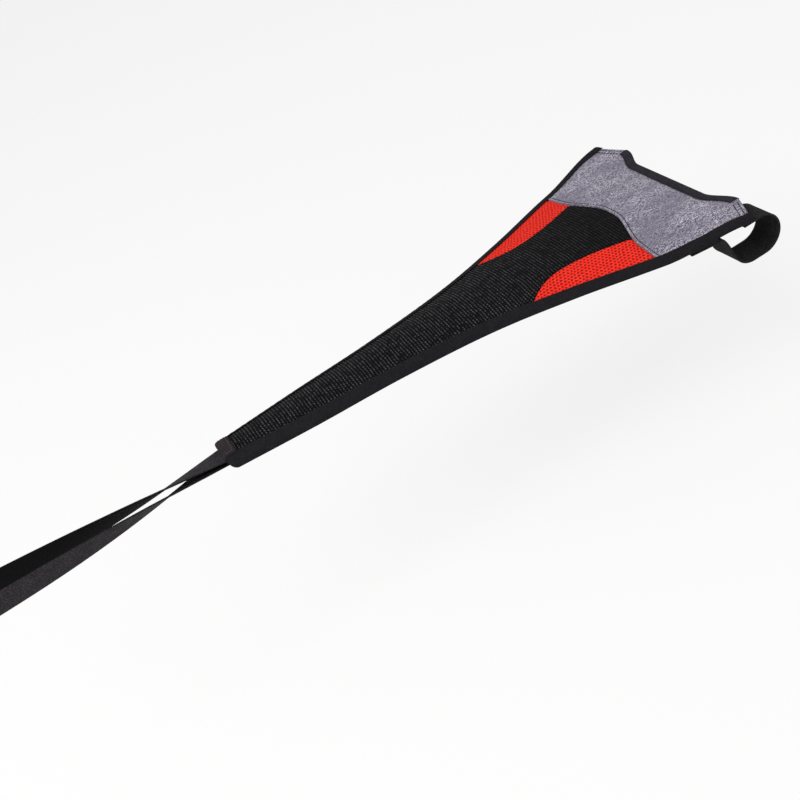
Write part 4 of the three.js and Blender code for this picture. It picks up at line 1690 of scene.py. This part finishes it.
@dataclass
class PostStrap:
    """Webbing from under the tail, turned onto its edge, round the seat post and back again."""

    webbing: PostWebbing
    fuzz: Fuzz
    drape: Drape = DRAPE
    width: float = 20
    thickness: float = 1.4
    sewn_length: float = 24
    sag: float = 2
    loop_height: float = 20
    post_radius: float = 13.6
    bar_to_post: float = 655
    clearance: float = 0.3
    twist_power: float = 1.8
    woven_edge: float = 0.1
    patch_thickness: float = 0.8
    patch_width: float = 17

    @property
    def loop_radius(self) -> float:
        """Radius of the webbing's middle round the post."""
        return self.post_radius + self.clearance + self.thickness / 2

    @property
    def sewn_height(self) -> float:
        """Height of the layer that is sewn under the lining's tail.

        Returns:
            The height of its middle.
        """
        d = self.drape
        hang = d.tail_droop * (self.width / 2 / d.stations[-1][1]) ** 2
        return d.lining_rest + d.crown_rise - hang + d.tape_bottom - self.clearance - self.thickness / 2

    @property
    def free_height(self) -> float:
        """Height of the layer that closes under the sewn one, past both patches."""
        pads = 2 * (self.clearance + self.patch_thickness)
        return self.sewn_height - self.thickness - pads - self.clearance

    def run(self, side: int, tail_height: float) -> Array:
        """Middle line of one run, straight from the tail to where it meets the loop, with a slight sag.

        Args:
            side: 1 for the left run and -1 for the right one.
            tail_height: Its height under the tail.

        Returns:
            Points from under the tail back to the post.
        """
        tail = self.drape.tail_behind
        tangent = math.asin(self.loop_radius / (self.bar_to_post - tail))
        end = self.bar_to_post - self.loop_radius * math.sin(tangent)
        sewn = np.linspace(tail - self.sewn_length, tail, 12)[:-1]
        behind = np.concatenate([sewn, np.linspace(tail, end, 90)])
        share = np.clip((behind - tail) / (end - tail), 0, 1)
        height = lerp(tail_height, self.loop_height, share) - self.sag * np.sin(math.pi * share)
        return np.stack([-behind, side * share * self.loop_radius * math.cos(tangent), height], axis=-1)

    def middle(self) -> Array:
        """The whole middle line: back along the left run, round the post and forward along the right.

        Returns:
            Its points.
        """
        tangent = math.asin(self.loop_radius / (self.bar_to_post - self.drape.tail_behind))
        angle = np.linspace(math.pi / 2 - tangent, -math.pi / 2 + tangent, 42)[1:-1]
        x, y = -self.bar_to_post - self.loop_radius * np.cos(angle), self.loop_radius * np.sin(angle)
        round_post = np.stack([x, y, np.full(angle.shape, self.loop_height)], axis=-1)
        return np.vstack([self.run(1, self.sewn_height), round_post, self.run(-1, self.free_height)[::-1]])

    def strap(self) -> bpy.types.Object:
        """Make the webbing; it turns a quarter about its line, fast at the tail and slowly at the post.

        Returns:
            The strap.
        """
        middle = self.middle()
        tail = self.drape.tail_behind
        share = np.clip((-middle[:, 0] - tail) / (self.bar_to_post - tail), 0, 1)
        turn = math.pi / 2 * (1 - (1 - share) ** self.twist_power)
        wide = np.stack([np.zeros(turn.shape), -np.cos(turn), np.sin(turn)], axis=-1)
        body = ribbon(middle, wide, self.width, self.thickness, self.woven_edge)
        return body.piece("post_webbing", self.webbing.material, Slot.WEBBING, ("post_strap",))

    def patch(self, kind: str, height: float) -> bpy.types.Object:
        """Make a patch between the two layers of webbing under the tail.

        Args:
            kind: "loop" or "hook".
            height: Height of its underside.

        Returns:
            The patch.
        """
        tail = self.drape.tail_behind
        pad = Pad(tail - self.sewn_length, self.sewn_length, self.patch_width, columns=19)
        behind, across, thickness = pad.plan()
        levels = height + thickness, np.full(behind.shape, height)
        top, bottom = (np.stack([-behind, across, level], axis=-1) for level in levels)
        names = f"tail_{kind}_pile", self.fuzz.material, Slot.HOOK_AND_LOOP, (f"post_strap_{kind}_patch",)
        return slab(top, bottom, 1).piece(*names)

    def build(self) -> list[bpy.types.Object]:
        """Make the strap and its two patches.

        Returns:
            The pieces.
        """
        space = self.clearance + self.patch_thickness
        under = self.sewn_height - self.thickness / 2
        return [self.strap(), self.patch("loop", under - space), self.patch("hook", under - 2 * space)]


@dataclass
class Studio:
    """Camera at the photograph's viewing angle, soft lights and a pale floor."""

    camera_mm: tuple[float, float, float] = (-476.8, -741.0, 538.4)
    azimuth: float = 75.92
    elevation: float = 36.51
    roll: float = -23.37
    focal_pixels: float = 1142
    frame_pixels: float = 800
    target_mm: tuple[float, float, float] = (-230, 0, 18)
    sensor_mm: float = 36.0
    floor_drop_mm: float = 150
    floor_side: float = 14.0
    floor_roughness: float = 0.9
    floor_own_light: float = 0.72
    room_light: float = 0.6
    room_light_seen: float = 0.36

    def camera(self) -> None:
        """Make the camera; its axes follow from its azimuth, its elevation below level and its roll."""
        lens = bpy.data.cameras.new("photo_camera")
        lens.sensor_width = self.sensor_mm
        lens.lens = self.sensor_mm * self.focal_pixels / self.frame_pixels
        lens.clip_start = 0.01
        camera = bpy.data.objects.new("photo_camera", lens)
        bpy.context.scene.collection.objects.link(camera)
        turn, down, roll = (math.radians(a) for a in (self.azimuth, self.elevation, self.roll))
        ahead = Vector((math.cos(down) * math.cos(turn), math.cos(down) * math.sin(turn), -math.sin(down)))
        level = ahead.cross(Vector((0, 0, 1))).normalized()
        rise = level.cross(ahead)
        right = level * math.cos(roll) + rise * math.sin(roll)
        up = rise * math.cos(roll) - level * math.sin(roll)
        place = Matrix((right, up, -ahead)).transposed().to_4x4()
        place.translation = Vector(self.camera_mm) * MM
        camera.matrix_world = place
        bpy.context.scene.camera = camera

    def lamp(self, name: str, direction: Size, distance: float, side: float, watts: float) -> None:
        """Add a square soft lamp that looks at the guard.

        Args:
            name: The lamp's name.
            direction: From the guard to the lamp.
            distance: How far off, in metres.
            side: Side of the square, in metres.
            watts: Power.
        """
        light = bpy.data.lights.new(name, "AREA")
        light.energy, light.size = watts, side
        lamp = bpy.data.objects.new(name, light)
        bpy.context.scene.collection.objects.link(lamp)
        away = Vector(direction).normalized()
        lamp.location = Vector(self.target_mm) * MM + away * distance
        lamp.rotation_euler = away.to_track_quat("Z", "Y").to_euler()

    def floor(self) -> None:
        """Lay the pale floor; seen by the camera it is part light, so that it stays near white."""
        half = self.floor_side / 2
        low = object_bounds()[0][2] - self.floor_drop_mm * MM
        mesh = bpy.data.meshes.new("floor")
        corners = [(x * half, y * half, low) for x, y in ((-1, -1), (1, -1), (1, 1), (-1, 1))]
        mesh.from_pydata(corners, [], [(0, 1, 2, 3)])
        material = bpy.data.materials.new("pale_matt_floor")
        material.use_nodes = True
        tree = material.node_tree
        shader = tree.nodes["Principled BSDF"]
        shader.inputs["Base Color"].default_value = srgb(0xF4F4F3)
        shader.inputs["Roughness"].default_value = self.floor_roughness
        seen = add(tree, "LightPath", {}, "Is Camera Ray")
        share = add(tree, "Math", {0: seen, 1: self.floor_own_light}, operation="MULTIPLY")
        white = add(tree, "Emission", {"Color": srgb(0xFFFFFF), "Strength": 1.0})
        blend = add(tree, "MixShader", {0: share, 1: shader.outputs[0], 2: white})
        feed(tree, tree.nodes["Material Output"].inputs["Surface"], blend)
        mesh.materials.append(material)
        floor = bpy.data.objects.new("floor", mesh)
        bpy.context.scene.collection.objects.link(floor)
        floor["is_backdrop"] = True

    def build(self) -> None:
        """Set up the camera, the world, the lamps and the floor."""
        self.camera()
        world = bpy.data.worlds.new("soft_white_room")
        world.use_nodes = True
        back = world.node_tree.nodes["Background"]
        back.inputs["Color"].default_value = srgb(0xFFFFFF)
        seen = add(world.node_tree, "LightPath", {}, "Is Camera Ray")
        light = {0: seen, 1: self.room_light_seen, 2: self.room_light}
        strength = add(world.node_tree, "Math", light, operation="MULTIPLY_ADD")
        feed(world.node_tree, back.inputs["Strength"], strength)
        bpy.context.scene.world = world
        self.lamp("key_softbox", (-0.75, -0.25, 1.0), distance=1.9, side=1.3, watts=20)
        self.lamp("fill_softbox", (0.7, -0.9, 0.7), distance=2.1, side=1.6, watts=6)
        self.floor()
        bpy.context.scene.view_settings.view_transform = "Standard"


def main() -> None:
    logging.basicConfig(level=logging.INFO, format="%(message)s")
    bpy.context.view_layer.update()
    Studio().build()
    FrontPanel().build()
    CentrePanel().build()
    red, webbing, fuzz = RedMesh(), Webbing(), Fuzz()
    for side in Side:
        MeshInsert(side, red).build()
    lining = LiningSheet().build()
    trims = Bindings().build() + TailPatch().build()
    reaches = {Side.LEFT: 2, Side.RIGHT: 12}
    straps = [BarStrap(side, reach, webbing, fuzz).build()[0] for side, reach in reaches.items()]
    PostStrap(PostWebbing(), fuzz).build()


if __name__ == "__main__":
    main()
